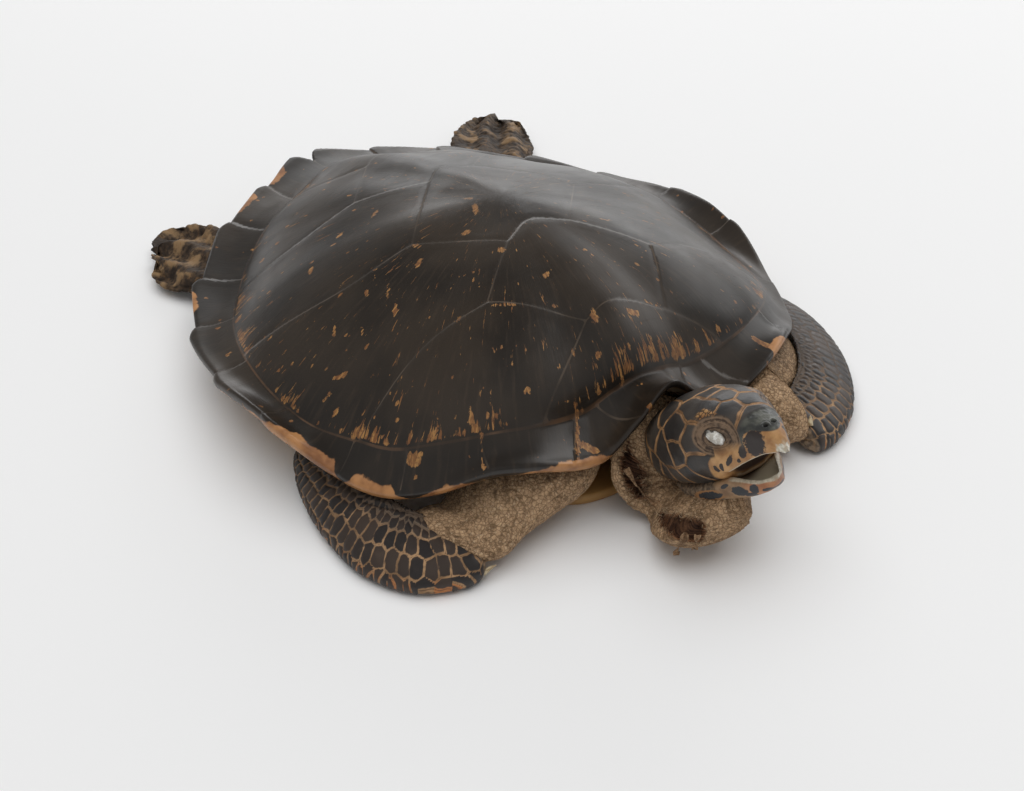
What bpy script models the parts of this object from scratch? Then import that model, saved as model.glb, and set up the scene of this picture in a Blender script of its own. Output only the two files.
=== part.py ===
"""Mounted juvenile hawksbill sea turtle, at its real size.

The head looks along -Y, +Z is up, and the animal's left side is +X. The origin is on the surface that the
plastron rests on, under the middle of the shell. Places round the shell are given as on a real one, by
their angle round a middle point, from 0 at the nape to 180 at the tail.
"""
import math

import bmesh
import bpy
import numpy as np
from mathutils import Euler, Matrix, Vector
from mathutils.geometry import delaunay_2d_cdt

# ---- driving dimensions, in metres and degrees ------------------------------------------------------
SHELL_MIDDLE_Y = -0.040        # the point that the shell's angles are measured round
APEX_HEIGHT = 0.119            # top of the dome above the surface
SHELL_WALL = 0.005             # bone and horn of the dome
GUTTER_DEPTH = 0.0015          # hollow along the marginal scutes
NAPE_HOLLOW = 0.0030           # extra hollow of the scutes over the neck
KEEL_HEIGHT = 0.0016
KEEL_WIDTH = 0.013
LEDGE = 0.0012                 # how far a scute's rear edge stands over the next scute
SEAM_HALF_GAP = 0.0006
GRID_STEP = 0.0145             # spacing of the dome's points
RIM_STEP = 0.008
UNDER_STEP = 0.024
EDGE_UNDERCUT = 0.0025         # how far the rim's lower edge lies inside its upper edge
CLEARANCE = 0.0007             # between touching pieces
RIM_CLEARANCE = 0.0045         # between the rim and the skin that passes it
SKIN_GAP = 0.0028              # between the shell's underside and the skin below it

# angle from the nape, then radius, rim height, band width, crease height and edge thickness
RIM_STATIONS = np.array((
    (0, 0.160, 0.082, 0.027, 0.068, 0.005),
    (8, 0.161, 0.064, 0.027, 0.065, 0.006),
    (16, 0.164, 0.048, 0.026, 0.060, 0.007),
    (30, 0.173, 0.057, 0.021, 0.066, 0.008),
    (38, 0.176, 0.057, 0.018, 0.067, 0.009),
    (48, 0.178, 0.042, 0.016, 0.061, 0.009),
    (57, 0.179, 0.034, 0.015, 0.053, 0.009),
    (66, 0.178, 0.037, 0.016, 0.049, 0.009),
    (78, 0.178, 0.048, 0.017, 0.044, 0.009),
    (90, 0.178, 0.050, 0.018, 0.044, 0.009),
    (103, 0.180, 0.042, 0.019, 0.045, 0.008),
    (118, 0.185, 0.034, 0.022, 0.041, 0.007),
    (132, 0.191, 0.033, 0.026, 0.036, 0.005),
    (145, 0.198, 0.034, 0.028, 0.038, 0.004),
    (157, 0.207, 0.037, 0.031, 0.044, 0.0035),
    (169, 0.2155, 0.039, 0.032, 0.045, 0.0035),
    (180, 0.230, 0.041, 0.033, 0.044, 0.0035),
))
RADIUS, RIM_HEIGHT, BAND, CREASE_HEIGHT, EDGE = range(1, 6)
# where the left side departs from the table: middle angle, spread and change
LEFT_SHAPE = {
    RADIUS: ((90, 28, -0.0040),),
    BAND: ((90, 28, -0.0040), (65, 35, 0.0020)),
    CREASE_HEIGHT: ((68, 33, -0.0045),),
    RIM_HEIGHT: ((107, 9, 0.0025), (75, 12, -0.0055)),
}
LEFT_FLATTENING = (95, 40, -0.15, -0.05)   # middle angle, spread, and change of the two fullnesses
# how full the dome's section is towards the nape, the sides and the tail
FRONT_FULLNESS = (3.0, 1.6)
SIDE_FULLNESS = (1.95, 1.07)
REAR_FULLNESS = (1.6, 1.2)

# marginal seams of one side, nape to tail: angle at the rim and angle at the crease
MARGINAL_SEAMS = ((7, 13), (22, 19), (38, 40), (54, 54), (66, 66), (85, 85), (104, 104), (123, 123),
                  (139, 139), (156.5, 155), (169, 167), (180, 180))
MARGINAL_RADIUS = 0.190        # mean, for spacing points round the rim
TOOTH_START, TOOTH_FULL = 60, 140
TOOTH_HEIGHT = 0.0055
TOOTH_TIP = 0.85               # where along its scute a tooth is tallest
TAIL_NOTCH = 0.012
TAIL_NOTCH_ANGLE = 2.5

# corners of the vertebral scutes, front to rear: where two of them meet a costal, and their side corners
JUNCTIONS = {"right": ((-0.018, -0.146), (-0.022, -0.078), (-0.015, 0.012), (-0.014, 0.086)),
             "left": ((0.034, -0.154), (0.020, -0.081), (0.017, 0.012), (0.014, 0.086))}
SEAM_TIPS = ((0.003, -0.143), (0.000, -0.069), (0.000, 0.022), (0.000, 0.094))
CORNERS = {"right": ((-0.059, -0.109), (-0.061, -0.037), (-0.050, 0.044)),
           "left": ((0.052, -0.117), (0.057, -0.038), (0.050, 0.044))}
# each costal seam: the angle where it meets the crease, and the point that bows it
COSTAL_SEAMS = {"right": ((-27, (-0.040, -0.158)), (-65, (-0.100, -0.102)), (-106, (-0.105, -0.027)),
                          (-133, (-0.086, 0.053)), (-165, (-0.032, 0.108))),
                "left": ((25, (0.048, -0.163)), (57, (0.096, -0.118)), (104, (0.104, -0.028)),
                         (133, (0.086, 0.053)), (165, (0.032, 0.108)))}

# plastron: one side of its outline, nape to tail
PLASTRON_EDGE = ((0.000, -0.185), (0.030, -0.184), (0.050, -0.177), (0.064, -0.160), (0.074, -0.136),
                 (0.094, -0.112), (0.124, -0.094), (0.147, -0.072), (0.153, -0.020), (0.151, 0.025),
                 (0.140, 0.052), (0.112, 0.068), (0.092, 0.086), (0.075, 0.112), (0.050, 0.137),
                 (0.024, 0.149), (0.000, 0.145))
PLASTRON_THICKNESS = 0.0065
PLASTRON_STEP = 0.017
BRIDGE_START, BRIDGE_END = 0.084, 0.150
BRIDGE_RISE = 0.046

# head: place of the back of the jaws, pose, and sections along its length
HEAD_PLACE = (0.0094, -0.2127, 0.0373)
HEAD_PITCH, HEAD_ROLL, HEAD_YAW = -29.0, -6.1, -5.8
# forward, half width, crown height, lower edge
HEAD_SECTIONS = (
    (0.000, 0.0245, 0.0270, -0.0050), (0.010, 0.0275, 0.0335, -0.0070), (0.022, 0.0290, 0.0380, -0.0070),
    (0.036, 0.0288, 0.0400, -0.0055), (0.048, 0.0265, 0.0395, -0.0020), (0.060, 0.0230, 0.0370, 0.0015),
    (0.070, 0.0190, 0.0340, 0.004), (0.080, 0.0148, 0.0305, 0.0070), (0.088, 0.0105, 0.0275, 0.0095),
    (0.094, 0.0060, 0.0235, 0.0100), (0.0970, 0.0022, 0.0180, 0.0090))
# forward, half width, upper edge, lower edge
JAW_SECTIONS = (
    (0.004, 0.0220, -0.0090, -0.0160), (0.020, 0.0250, -0.0088, -0.0195), (0.036, 0.0245, -0.0072, -0.0198),
    (0.048, 0.0215, -0.0052, -0.0190), (0.060, 0.0168, -0.0046, -0.0174), (0.070, 0.0118, -0.0050, -0.0152),
    (0.077, 0.0070, -0.0060, -0.0128), (0.0815, 0.0022, -0.0068, -0.0100))
EYE_PLACE = (0.0205, -0.0650, 0.0252)
EYE_SIZE = (0.0042, 0.0066, 0.0046)
SOCKET_SIZE = (0.0075, 0.0080, 0.0058)
NOSTRIL_PLACE = (0.0034, -0.0925, 0.0258)
NOSTRIL_SIZE = 0.0015

# skin bodies: along the body, sideways middle, middle height, half width, rise, drop
NECK_SECTIONS = (
    (0.118, 0.000, 0.046, 0.0230, 0.018, 0.020), (0.150, 0.000, 0.045, 0.0262, 0.024, 0.026),
    (0.180, -0.001, 0.040, 0.0270, 0.029, 0.034), (0.198, -0.006, 0.036, 0.0335, 0.033, 0.0345),
    (0.217, -0.011, 0.035, 0.0365, 0.034, 0.0338), (0.235, -0.013, 0.031, 0.0355, 0.030, 0.0290),
    (0.252, -0.013, 0.029, 0.0305, 0.024, 0.0250), (0.264, -0.011, 0.031, 0.0180, 0.014, 0.0170),
    (0.271, -0.006, 0.034, 0.0060, 0.005, 0.0080))
RIGHT_SHOULDER_SECTIONS = (
    (0.0290, -0.150, 0.030, 0.030, 0.022, 0.022), (0.050, -0.156, 0.030, 0.037, 0.022, 0.0225),
    (0.075, -0.158, 0.027, 0.038, 0.022, 0.0235), (0.095, -0.161, 0.021, 0.036, 0.020, 0.0200),
    (0.110, -0.170, 0.016, 0.030, 0.015, 0.0150), (0.1195, -0.1715, 0.014, 0.026, 0.011, 0.0125))
LEFT_SHOULDER_SECTIONS = (
    (0.0290, -0.150, 0.030, 0.030, 0.022, 0.022), (0.045, -0.158, 0.030, 0.036, 0.022, 0.0225),
    (0.060, -0.172, 0.029, 0.042, 0.024, 0.0250), (0.073, -0.184, 0.026, 0.041, 0.024, 0.0245),
    (0.0835, -0.190, 0.0235, 0.037, 0.024, 0.0225), (0.0858, -0.188, 0.0235, 0.034, 0.024, 0.0225),
    (0.0882, -0.1645, 0.0240, 0.0180, 0.023, 0.0220), (0.1020, -0.1615, 0.0220, 0.0165, 0.019, 0.0200),
    (0.1140, -0.156, 0.0200, 0.0150, 0.015, 0.0170), (0.1220, -0.150, 0.0180, 0.0090, 0.010, 0.0120))
TAIL_SECTIONS = (
    (0.135, 0.000, 0.022, 0.015, 0.010, 0.012), (0.160, 0.000, 0.018, 0.011, 0.008, 0.009),
    (0.182, 0.001, 0.013, 0.006, 0.005, 0.005), (0.190, 0.001, 0.012, 0.002, 0.002, 0.002))

# flippers: their outer (leading) edge, their inner edge, and their thickness, from the body to the tip
RIGHT_FRONT_FLIPPER = (
    ((-0.1203, -0.198, 0.004), (-0.139, -0.199, 0.003), (-0.163, -0.187, 0.003), (-0.178, -0.160, 0.003),
     (-0.180, -0.130, 0.003), (-0.176, -0.100, 0.003), (-0.168, -0.073, 0.004), (-0.157, -0.050, 0.008)),
    ((-0.1203, -0.161, 0.020), (-0.129, -0.160, 0.021), (-0.137, -0.151, 0.023), (-0.143, -0.139, 0.025),
     (-0.147, -0.121, 0.026), (-0.149, -0.100, 0.025), (-0.150, -0.077, 0.021), (-0.151, -0.054, 0.012)),
    (0.020, 0.019, 0.017, 0.015, 0.013, 0.012, 0.010, 0.005))
LEFT_FRONT_FLIPPER = (
    ((0.0886, -0.2275, 0.004), (0.110, -0.2265, 0.003), (0.136, -0.2125, 0.003), (0.159, -0.187, 0.003),
     (0.175, -0.157, 0.003), (0.182, -0.124, 0.003), (0.176, -0.088, 0.004), (0.163, -0.056, 0.008)),
    ((0.0886, -0.188, 0.020), (0.104, -0.188, 0.021), (0.121, -0.178, 0.023), (0.136, -0.160, 0.025),
     (0.146, -0.137, 0.026), (0.152, -0.111, 0.025), (0.155, -0.085, 0.021), (0.157, -0.060, 0.012)),
    (0.020, 0.019, 0.017, 0.015, 0.013, 0.012, 0.010, 0.005))
RIGHT_HIND_FLIPPER = (
    ((-0.095, 0.095, 0.017), (-0.112, 0.113, 0.014), (-0.126, 0.132, 0.010), (-0.137, 0.152, 0.007),
     (-0.144, 0.172, 0.006)),
    ((-0.060, 0.112, 0.021), (-0.067, 0.145, 0.019), (-0.077, 0.174, 0.015), (-0.092, 0.197, 0.011),
     (-0.109, 0.209, 0.008)),
    (0.017, 0.013, 0.010, 0.008, 0.005))
LEFT_HIND_FLIPPER = (
    ((0.098, 0.093, 0.017), (0.122, 0.111, 0.014), (0.148, 0.132, 0.010), (0.172, 0.158, 0.007),
     (0.186, 0.191, 0.006)),
    ((0.062, 0.110, 0.021), (0.084, 0.143, 0.019), (0.109, 0.172, 0.015), (0.136, 0.197, 0.011),
     (0.164, 0.214, 0.007)),
    (0.017, 0.013, 0.010, 0.008, 0.005))


# ---- curves and meshes ------------------------------------------------------------------------------
def smooth(x, xs, ys):
    """Curve through the stations (xs, ys), level at both ends."""
    xs, ys = np.asarray(xs, float), np.asarray(ys, float)
    slope = np.zeros(len(xs))
    slope[1:-1] = (ys[2:] - ys[:-2]) / (xs[2:] - xs[:-2])
    i = np.clip(np.searchsorted(xs, x, side="right") - 1, 0, len(xs) - 2)
    step = xs[i + 1] - xs[i]
    t = (x - xs[i]) / step
    return (ys[i] * (1 + 2 * t) * (1 - t) ** 2 + slope[i] * step * t * (1 - t) ** 2
            + ys[i + 1] * t * t * (3 - 2 * t) + slope[i + 1] * step * t * t * (t - 1))


def spline(points, count):
    """count points over a Catmull-Rom curve through the given points."""
    pts = np.asarray(points, float)
    if pts.ndim == 1:
        pts = pts[:, None]
    pts = np.vstack([2 * pts[0] - pts[1], pts, 2 * pts[-1] - pts[-2]])
    out = []
    for t in np.linspace(0, len(pts) - 3, count):
        i = min(int(t), len(pts) - 4)
        u = t - i
        a, b, c, d = pts[i:i + 4]
        out.append(0.5 * (2 * b + (c - a) * u + (2 * a - 5 * b + 4 * c - d) * u ** 2
                          + (3 * b - a - 3 * c + d) * u ** 3))
    return np.array(out)


def line(a, b, step):
    return np.linspace(a, b, max(2, int(math.dist(a, b) / step) + 1))


def curve(points, step):
    length = sum(math.dist(a, b) for a, b in zip(points, points[1:]))
    return spline(points, max(3, int(length / step) + 1))


def collection(name):
    made = bpy.data.collections.new(name)
    bpy.context.scene.collection.children.link(made)
    return made


def material(name, colour, roughness):
    made = bpy.data.materials.new(name)
    made.use_nodes = True
    shader = made.node_tree.nodes["Principled BSDF"]
    shader.inputs["Base Color"].default_value = (*colour, 1.0)
    shader.inputs["Roughness"].default_value = roughness
    shader.inputs["Metallic"].default_value = 0.0
    made.diffuse_color = (*colour, 1.0)
    return made


def add_object(name, verts, faces, mat, group):
    mesh = bpy.data.meshes.new(name)
    mesh.from_pydata([tuple(map(float, v)) for v in verts], [], [tuple(map(int, f)) for f in faces])
    shape = bmesh.new()
    shape.from_mesh(mesh)
    bmesh.ops.recalc_face_normals(shape, faces=shape.faces)
    shape.to_mesh(mesh)
    shape.free()
    mesh.shade_smooth()
    mesh.set_sharp_from_angle(angle=math.radians(35))
    if mat:
        mesh.materials.append(mat)
    made = bpy.data.objects.new(name, mesh)
    group.objects.link(made)
    return made


def hide_cutter(cutter):
    cutter.hide_render = True
    cutter.display_type = "WIRE"
    return cutter


def cut(piece, *cutters):
    """Takes the cutters away from a piece with Boolean modifiers."""
    for cutter in cutters:
        modifier = piece.modifiers.new("cut_" + cutter.name, "BOOLEAN")
        modifier.operation = "DIFFERENCE"
        modifier.solver = "EXACT"
        modifier.object = cutter


def tube(rings):
    """Vertices and faces of a closed body through equal rings, with a fan at each end."""
    count, sides = len(rings), len(rings[0])
    verts = np.vstack([np.vstack(rings), rings[0].mean(0), rings[-1].mean(0)])
    faces = []
    for i in range(count - 1):
        for k in range(sides):
            a, b = i * sides + k, i * sides + (k + 1) % sides
            faces.append((a, b, b + sides, a + sides))
    first, last = count * sides, count * sides + 1
    faces += [((k + 1) % sides, k, first) for k in range(sides)]
    base = (count - 1) * sides
    faces += [(base + k, base + (k + 1) % sides, last) for k in range(sides)]
    return verts, faces


def section_body(name, sections, axes, rings, sides, squareness, mat, group):
    """Closed body through sections: axes are the world directions of along, sideways and up."""
    data = spline(sections, rings)
    turn = np.linspace(0, 2 * math.pi, sides, endpoint=False)
    c, s = np.cos(turn), np.sin(turn)
    c, s = np.sign(c) * np.abs(c) ** squareness, np.sign(s) * np.abs(s) ** squareness
    made = []
    for along, middle, height, half, rise, drop in data:
        local = np.column_stack([np.full(sides, along), middle + half * c,
                                 height + np.where(s > 0, rise, drop) * s])
        made.append(local @ np.array(axes, float))
    return add_object(name, *tube(made), mat, group)


def triangulate(loop, loose):
    """Triangles over a closed plan loop and loose points; also where each loop point ended up."""
    edges = [(i, (i + 1) % len(loop)) for i in range(len(loop))]
    points = [Vector(p) for p in np.vstack([loop, loose])]
    verts, _, faces, origins, _, _ = delaunay_2d_cdt(points, edges, [], 1, 1e-7)
    place = {o[0]: i for i, o in enumerate(origins) if o}
    return np.array([tuple(v) for v in verts]), [tuple(f) for f in faces], [place[i] for i in range(len(loop))]


def inside(points, outline):
    """Which plan points lie inside a closed outline."""
    x, y = points[:, 0][:, None], points[:, 1][:, None]
    ax, ay = outline[:, 0], outline[:, 1]
    bx, by = np.roll(ax, -1), np.roll(ay, -1)
    crossing = (ay > y) != (by > y)
    at = ax + (y - ay) * (bx - ax) / np.where(by == ay, 1e-12, by - ay)
    return (crossing & (x < at)).sum(1) % 2 == 1


def spread(outline, fixed, step):
    """Evenly staggered plan points inside an outline, clear of the fixed points."""
    low, high = outline.min(0), outline.max(0)
    rows = np.arange(low[1], high[1], step * 0.87)
    grid = np.array([(x + (i % 2) * step / 2, y) for i, y in enumerate(rows)
                     for x in np.arange(low[0], high[0], step)])
    grid = grid[inside(grid, outline)]
    near = np.array([((fixed - p) ** 2).sum(1).min() for p in grid])
    return grid[near > (0.55 * step) ** 2]


def plate(name, top, top_faces, top_ring, under, under_faces, under_ring, mat, group):
    """Closed body from an upper and a lower sheet whose edge rings match point for point."""
    verts = np.vstack([top, under])
    offset = len(top)
    low_ring = [offset + i for i in under_ring]
    faces = list(top_faces) + [tuple(offset + i for i in f[::-1]) for f in under_faces]
    count = len(top_ring)
    for i in range(count):
        j = (i + 1) % count
        faces.append((top_ring[j], top_ring[i], low_ring[i], low_ring[j]))
    return add_object(name, verts, faces, mat, group)


# ---- form of the shell ------------------------------------------------------------------------------
def bell(angle, middle, spread_angle):
    return np.exp(-((np.asarray(angle, float) - middle) / spread_angle) ** 2)


def station(angle, column):
    """Value of the rim table at an angle, with the left side's own shape."""
    value = smooth(np.abs(angle), RIM_STATIONS[:, 0], RIM_STATIONS[:, column])
    for middle, spread_angle, change in LEFT_SHAPE.get(column, ()):
        value = value + change * bell(angle, middle, spread_angle)
    return value


def plan_point(angle, radius):
    a = np.radians(angle)
    return np.stack([np.sin(a) * radius, SHELL_MIDDLE_Y - np.cos(a) * radius], -1)


def polar(x, y):
    dx, dy = np.asarray(x, float), np.asarray(y, float) - SHELL_MIDDLE_Y
    return np.degrees(np.arctan2(dx, -dy)), np.hypot(dx, dy)


def shell_top(x, y):
    """Height of the carapace over a plan point, without its ledges."""
    angle, radius = polar(x, y)
    rim, rim_z, band, crease_z = (station(angle, k) for k in (RADIUS, RIM_HEIGHT, BAND, CREASE_HEIGHT))
    crease = rim - band
    facing = np.cos(np.radians(angle))
    front, rear = np.maximum(facing, 0) ** 4, np.maximum(-facing, 0) ** 2
    power, root = (s + (f - s) * front + (r - s) * rear
                   for f, s, r in zip(FRONT_FULLNESS, SIDE_FULLNESS, REAR_FULLNESS))
    flat_middle, flat_spread, power_change, root_change = LEFT_FLATTENING
    power = power + power_change * bell(angle, flat_middle, flat_spread)
    root = root + root_change * bell(angle, flat_middle, flat_spread)
    share = np.minimum(radius / crease, 1)
    dome = crease_z + (APEX_HEIGHT - crease_z) * (1 - share ** power) ** (1 / root)
    behind = np.clip((y - SHELL_MIDDLE_Y) / 0.08 + 0.5, 0, 1)
    keel = KEEL_HEIGHT * behind * np.exp(-(np.asarray(x) / KEEL_WIDTH) ** 2)
    across = np.clip((radius - crease) / band, 0, 1.3)
    hollow = (GUTTER_DEPTH + NAPE_HOLLOW * front) * np.sin(np.pi * np.minimum(across, 1))
    flare = crease_z + (rim_z - crease_z) * across - hollow
    return np.where(radius < crease, dome + keel, flare)


def shell_bottom(x, y):
    """Height of the carapace's underside: its edge is thick at the sides and thin at the tail."""
    angle, radius = polar(x, y)
    band = station(angle, BAND)
    across = np.clip((radius - station(angle, RADIUS) + band) / band, 0, 1)
    return shell_top(x, y) - SHELL_WALL - (station(angle, EDGE) - SHELL_WALL) * across


def crease_run(first, last, step):
    count = max(2, int(abs(math.radians(last - first)) * MARGINAL_RADIUS / step) + 1)
    angles = np.linspace(first, last, count)
    wrapped = (angles + 180) % 360 - 180
    return plan_point(angles, station(wrapped, RADIUS) - station(wrapped, BAND))


def joined(*runs):
    """One anticlockwise outline from runs that meet end to end."""
    outline = np.vstack([run[:-1] for run in runs])
    x, y = outline[:, 0], outline[:, 1]
    area = (x * np.roll(y, -1) - y * np.roll(x, -1)).sum()
    return outline if area > 0 else outline[::-1]


def inset(outline, distance):
    """An anticlockwise outline moved inwards."""
    first, second = outline - np.roll(outline, 1, 0), np.roll(outline, -1, 0) - outline
    n1, n2 = (np.stack([-e[:, 1], e[:, 0]], 1) / np.linalg.norm(e, axis=1)[:, None] for e in (first, second))
    mean = n1 + n2
    mean /= np.maximum((mean * n1).sum(1), 0.5)[:, None]
    return outline + mean * distance


def dome_scutes(step):
    """Outlines of the 5 vertebral and 8 costal scutes, which fill the shell inside the crease."""
    arches = [curve(points, step) for points in zip(JUNCTIONS["right"], SEAM_TIPS, JUNCTIONS["left"])]
    side_runs = {}
    for side in ("right", "left"):
        junctions, corners, seams = JUNCTIONS[side], CORNERS[side], COSTAL_SEAMS[side]
        starts = (junctions[0], *corners, junctions[3])
        ends = [crease_run(angle, angle, step)[0] for angle, _ in seams]
        costal = [curve([a, bow, tuple(e)], step) for a, (_, bow), e in zip(starts, seams, ends)]
        edge = [crease_run(a[0], b[0], step) for a, b in zip(seams, seams[1:])]
        forward = [line(j, c, step) for j, c in zip(junctions[:3], corners)]
        backward = [line(c, j, step) for c, j in zip(corners, junctions[1:])]
        side_runs[side] = costal, edge, forward, backward
    (rc, _, rf, rb), (lc, _, lf, lb) = side_runs["right"], side_runs["left"]
    nape = crease_run(COSTAL_SEAMS["right"][0][0], COSTAL_SEAMS["left"][0][0], step)
    tail = crease_run(COSTAL_SEAMS["left"][4][0], 360 + COSTAL_SEAMS["right"][4][0], step)
    scutes = [joined(nape, lc[0][::-1], arches[0][::-1], rc[0])]
    for n in range(3):
        scutes.append(joined(arches[n], lf[n], lb[n], arches[n + 1][::-1], rb[n][::-1], rf[n][::-1]))
    scutes.append(joined(arches[3], lc[4], tail, rc[4][::-1]))
    for costal, edge, forward, backward in side_runs.values():
        scutes.append(joined(costal[0], edge[0], costal[1][::-1], forward[0][::-1]))
        for n in (1, 2):
            scutes.append(joined(costal[n], edge[n], costal[n + 1][::-1], forward[n][::-1],
                                 backward[n - 1][::-1]))
        scutes.append(joined(costal[3], edge[3], costal[4][::-1], backward[2][::-1]))
    return [inset(outline, SEAM_HALF_GAP) for outline in scutes]


def tooth(angle, start, end):
    """How far a marginal scute stands out of the even rim: most at its rear corner."""
    height = TOOTH_HEIGHT * np.clip((end - TOOTH_START) / (TOOTH_FULL - TOOTH_START), 0, 1)
    along = np.clip((np.abs(angle) - start) / (end - start), 0, 1)
    climb = (np.minimum(along, TOOTH_TIP) / TOOTH_TIP) ** 1.6
    fall = (np.maximum(along - TOOTH_TIP, 0) / (1 - TOOTH_TIP)) ** 2
    to_tail = 180 - np.abs(angle)
    return height * (climb - 0.8 * fall) - TAIL_NOTCH * np.clip(1 - to_tail / TAIL_NOTCH_ANGLE, 0, 1)


def marginal_scutes(step):
    """For each scute of the rim, its points on the rim and its other points, in order round it."""
    pairs = list(zip(MARGINAL_SEAMS, MARGINAL_SEAMS[1:]))
    first = MARGINAL_SEAMS[0]
    spans = [((-b[0], -b[1]), (-a[0], -a[1])) for a, b in pairs] + [((-first[0], -first[1]), first)] + pairs
    gap = math.degrees(SEAM_HALF_GAP / MARGINAL_RADIUS)
    made = []
    for (rim_a, crease_a), (rim_b, crease_b) in sorted(spans):
        rim_count = max(3, int(math.radians(rim_b - rim_a) * MARGINAL_RADIUS / step) + 1)
        angles = np.linspace(rim_a + gap, rim_b - gap, rim_count)
        radius = station(angles, RADIUS)
        if rim_a * rim_b >= 0:
            radius = radius + tooth(angles, *sorted((abs(rim_a), abs(rim_b))))
        outer = plan_point(angles, radius)
        crease_count = max(3, int(math.radians(crease_b - crease_a) * MARGINAL_RADIUS / step) + 1)
        angles = np.linspace(crease_b - gap, crease_a + gap, crease_count)
        inner = plan_point(angles, station(angles, RADIUS) - station(angles, BAND) + SEAM_HALF_GAP)
        made.append((outer, np.vstack([line(outer[-1], inner[0], step)[1:-1], inner,
                                       line(inner[-1], outer[0], step)[1:-1]])))
    return made


def share_of_marginal(outer, points):
    """0 at the head end of a marginal scute, 1 at its tail end."""
    ends, angle = np.abs(polar(*outer[[0, -1]].T)[0]), np.abs(polar(*points.T)[0])
    return np.clip((angle - ends.min()) / max(ends.max() - ends.min(), 1), 0, 1)


def share_of_scute(outline, points):
    low, high = outline[:, 1].min(), outline[:, 1].max()
    return (points[:, 1] - low) / (high - low)


def outward(points):
    radial = points - np.array([0.0, SHELL_MIDDLE_Y])
    return radial / np.linalg.norm(radial, axis=1)[:, None]


def under_sheet(rim):
    """Plan of the carapace's coarser underside, with the same number of edge points as the rim."""
    edge = rim - outward(rim) * EDGE_UNDERCUT
    return triangulate(edge, spread(edge, edge, UNDER_STEP))


def build_carapace(mat, group):
    """Upper shell: every scute climbs towards its rear edge, which stands over the next scute."""
    marginals = marginal_scutes(RIM_STEP)
    rim = np.vstack([outer for outer, _ in marginals])
    scutes = dome_scutes(GRID_STEP)
    chains = [rest for _, rest in marginals]
    loose = spread(rim, np.vstack([rim, *scutes, *chains]), GRID_STEP)
    rise = [share_of_marginal(outer, outer) for outer, _ in marginals]
    rise += [share_of_scute(outline, outline) for outline in scutes]
    rise += [share_of_marginal(outer, rest) for outer, rest in marginals]
    loose_rise = np.zeros(len(loose))
    for outline in scutes:
        hit = inside(loose, outline)
        loose_rise[hit] = share_of_scute(outline, loose[hit])
    for outer, rest in marginals:
        hit = inside(loose, np.vstack([outer, rest]))
        loose_rise[hit] = share_of_marginal(outer, loose[hit])
    rise = LEDGE * np.concatenate(rise + [loose_rise])
    edges, base = [], 0
    for outline in [rim, *scutes]:
        edges += [(base + i, base + (i + 1) % len(outline)) for i in range(len(outline))]
        base += len(outline)
    on_rim = 0
    for outer, rest in marginals:
        run = [on_rim + len(outer) - 1, *range(base, base + len(rest)), on_rim]
        edges += list(zip(run, run[1:]))
        on_rim += len(outer)
        base += len(rest)
    points = [Vector(p) for p in np.vstack([rim, *scutes, *chains, loose])]
    verts, _, faces, origins, _, _ = delaunay_2d_cdt(points, edges, [], 1, 1e-7)
    plan = np.array([tuple(v) for v in verts])
    source = np.array([o[0] for o in origins])
    top = np.column_stack([plan, shell_top(*plan.T) + rise[source]])
    place = {s: i for i, s in enumerate(source)}
    under_plan, under_faces, under_ring = under_sheet(rim)
    under = np.column_stack([under_plan, shell_bottom(*under_plan.T)])
    return plate("carapace", top, [tuple(f) for f in faces], [place[i] for i in range(len(rim))],
                 under, under_faces, under_ring, mat, group)


def shell_cutter(group):
    """The space that the carapace fills and all above it, a clearance larger."""
    rim = np.vstack([outer for outer, _ in marginal_scutes(RIM_STEP)])
    plan, faces, ring = under_sheet(rim)
    plan[ring] += outward(plan[ring]) * (EDGE_UNDERCUT + RIM_CLEARANCE)
    low = np.column_stack([plan, shell_bottom(*plan.T) - SKIN_GAP])
    high = np.column_stack([plan, np.full(len(plan), 0.2)])
    return hide_cutter(plate("shell_cutter", high, faces, ring, low, faces, ring, None, group))


# ---- plastron ---------------------------------------------------------------------------------------
def plastron_top(x, y):
    """Flat in the middle; its bridges climb to the underside of the carapace's edge."""
    climb = np.clip((np.abs(x) - BRIDGE_START) / (BRIDGE_END - BRIDGE_START), 0, 1)
    top = PLASTRON_THICKNESS + BRIDGE_RISE * climb ** 1.6
    return np.minimum(top, shell_bottom(x, y) - 2 * CLEARANCE)


def plastron_sheet(outset=0.0):
    half = curve(PLASTRON_EDGE, PLASTRON_STEP)
    outline = joined(np.vstack([half, (half * (-1, 1))[::-1][1:]]))
    edge = inset(outline, -outset) if outset else outline
    return triangulate(edge, spread(edge, edge, PLASTRON_STEP))


def build_plastron(mat, group):
    plan, faces, ring = plastron_sheet()
    high = plastron_top(*plan.T)
    top = np.column_stack([plan, high])
    under = np.column_stack([plan, high - PLASTRON_THICKNESS])
    return plate("plastron", top, faces, ring, under, faces, ring, mat, group)


def plastron_cutter(group):
    plan, faces, ring = plastron_sheet(CLEARANCE)
    top = np.column_stack([plan, plastron_top(*plan.T) + CLEARANCE])
    under = np.column_stack([plan, np.full(len(plan), -0.02)])
    return hide_cutter(plate("plastron_cutter", top, faces, ring, under, faces, ring, None, group))


# ---- head -------------------------------------------------------------------------------------------
def pose_with_head(piece):
    """Sets a piece that was made in the head's own frame where the head is."""
    piece.location = HEAD_PLACE
    piece.rotation_mode = "YXZ"
    piece.rotation_euler = Euler([math.radians(a) for a in (HEAD_PITCH, HEAD_ROLL, HEAD_YAW)], "YXZ")
    return piece


HEAD_AXES = ((0, -1, 0), (1, 0, 0), (0, 0, 1))


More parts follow.
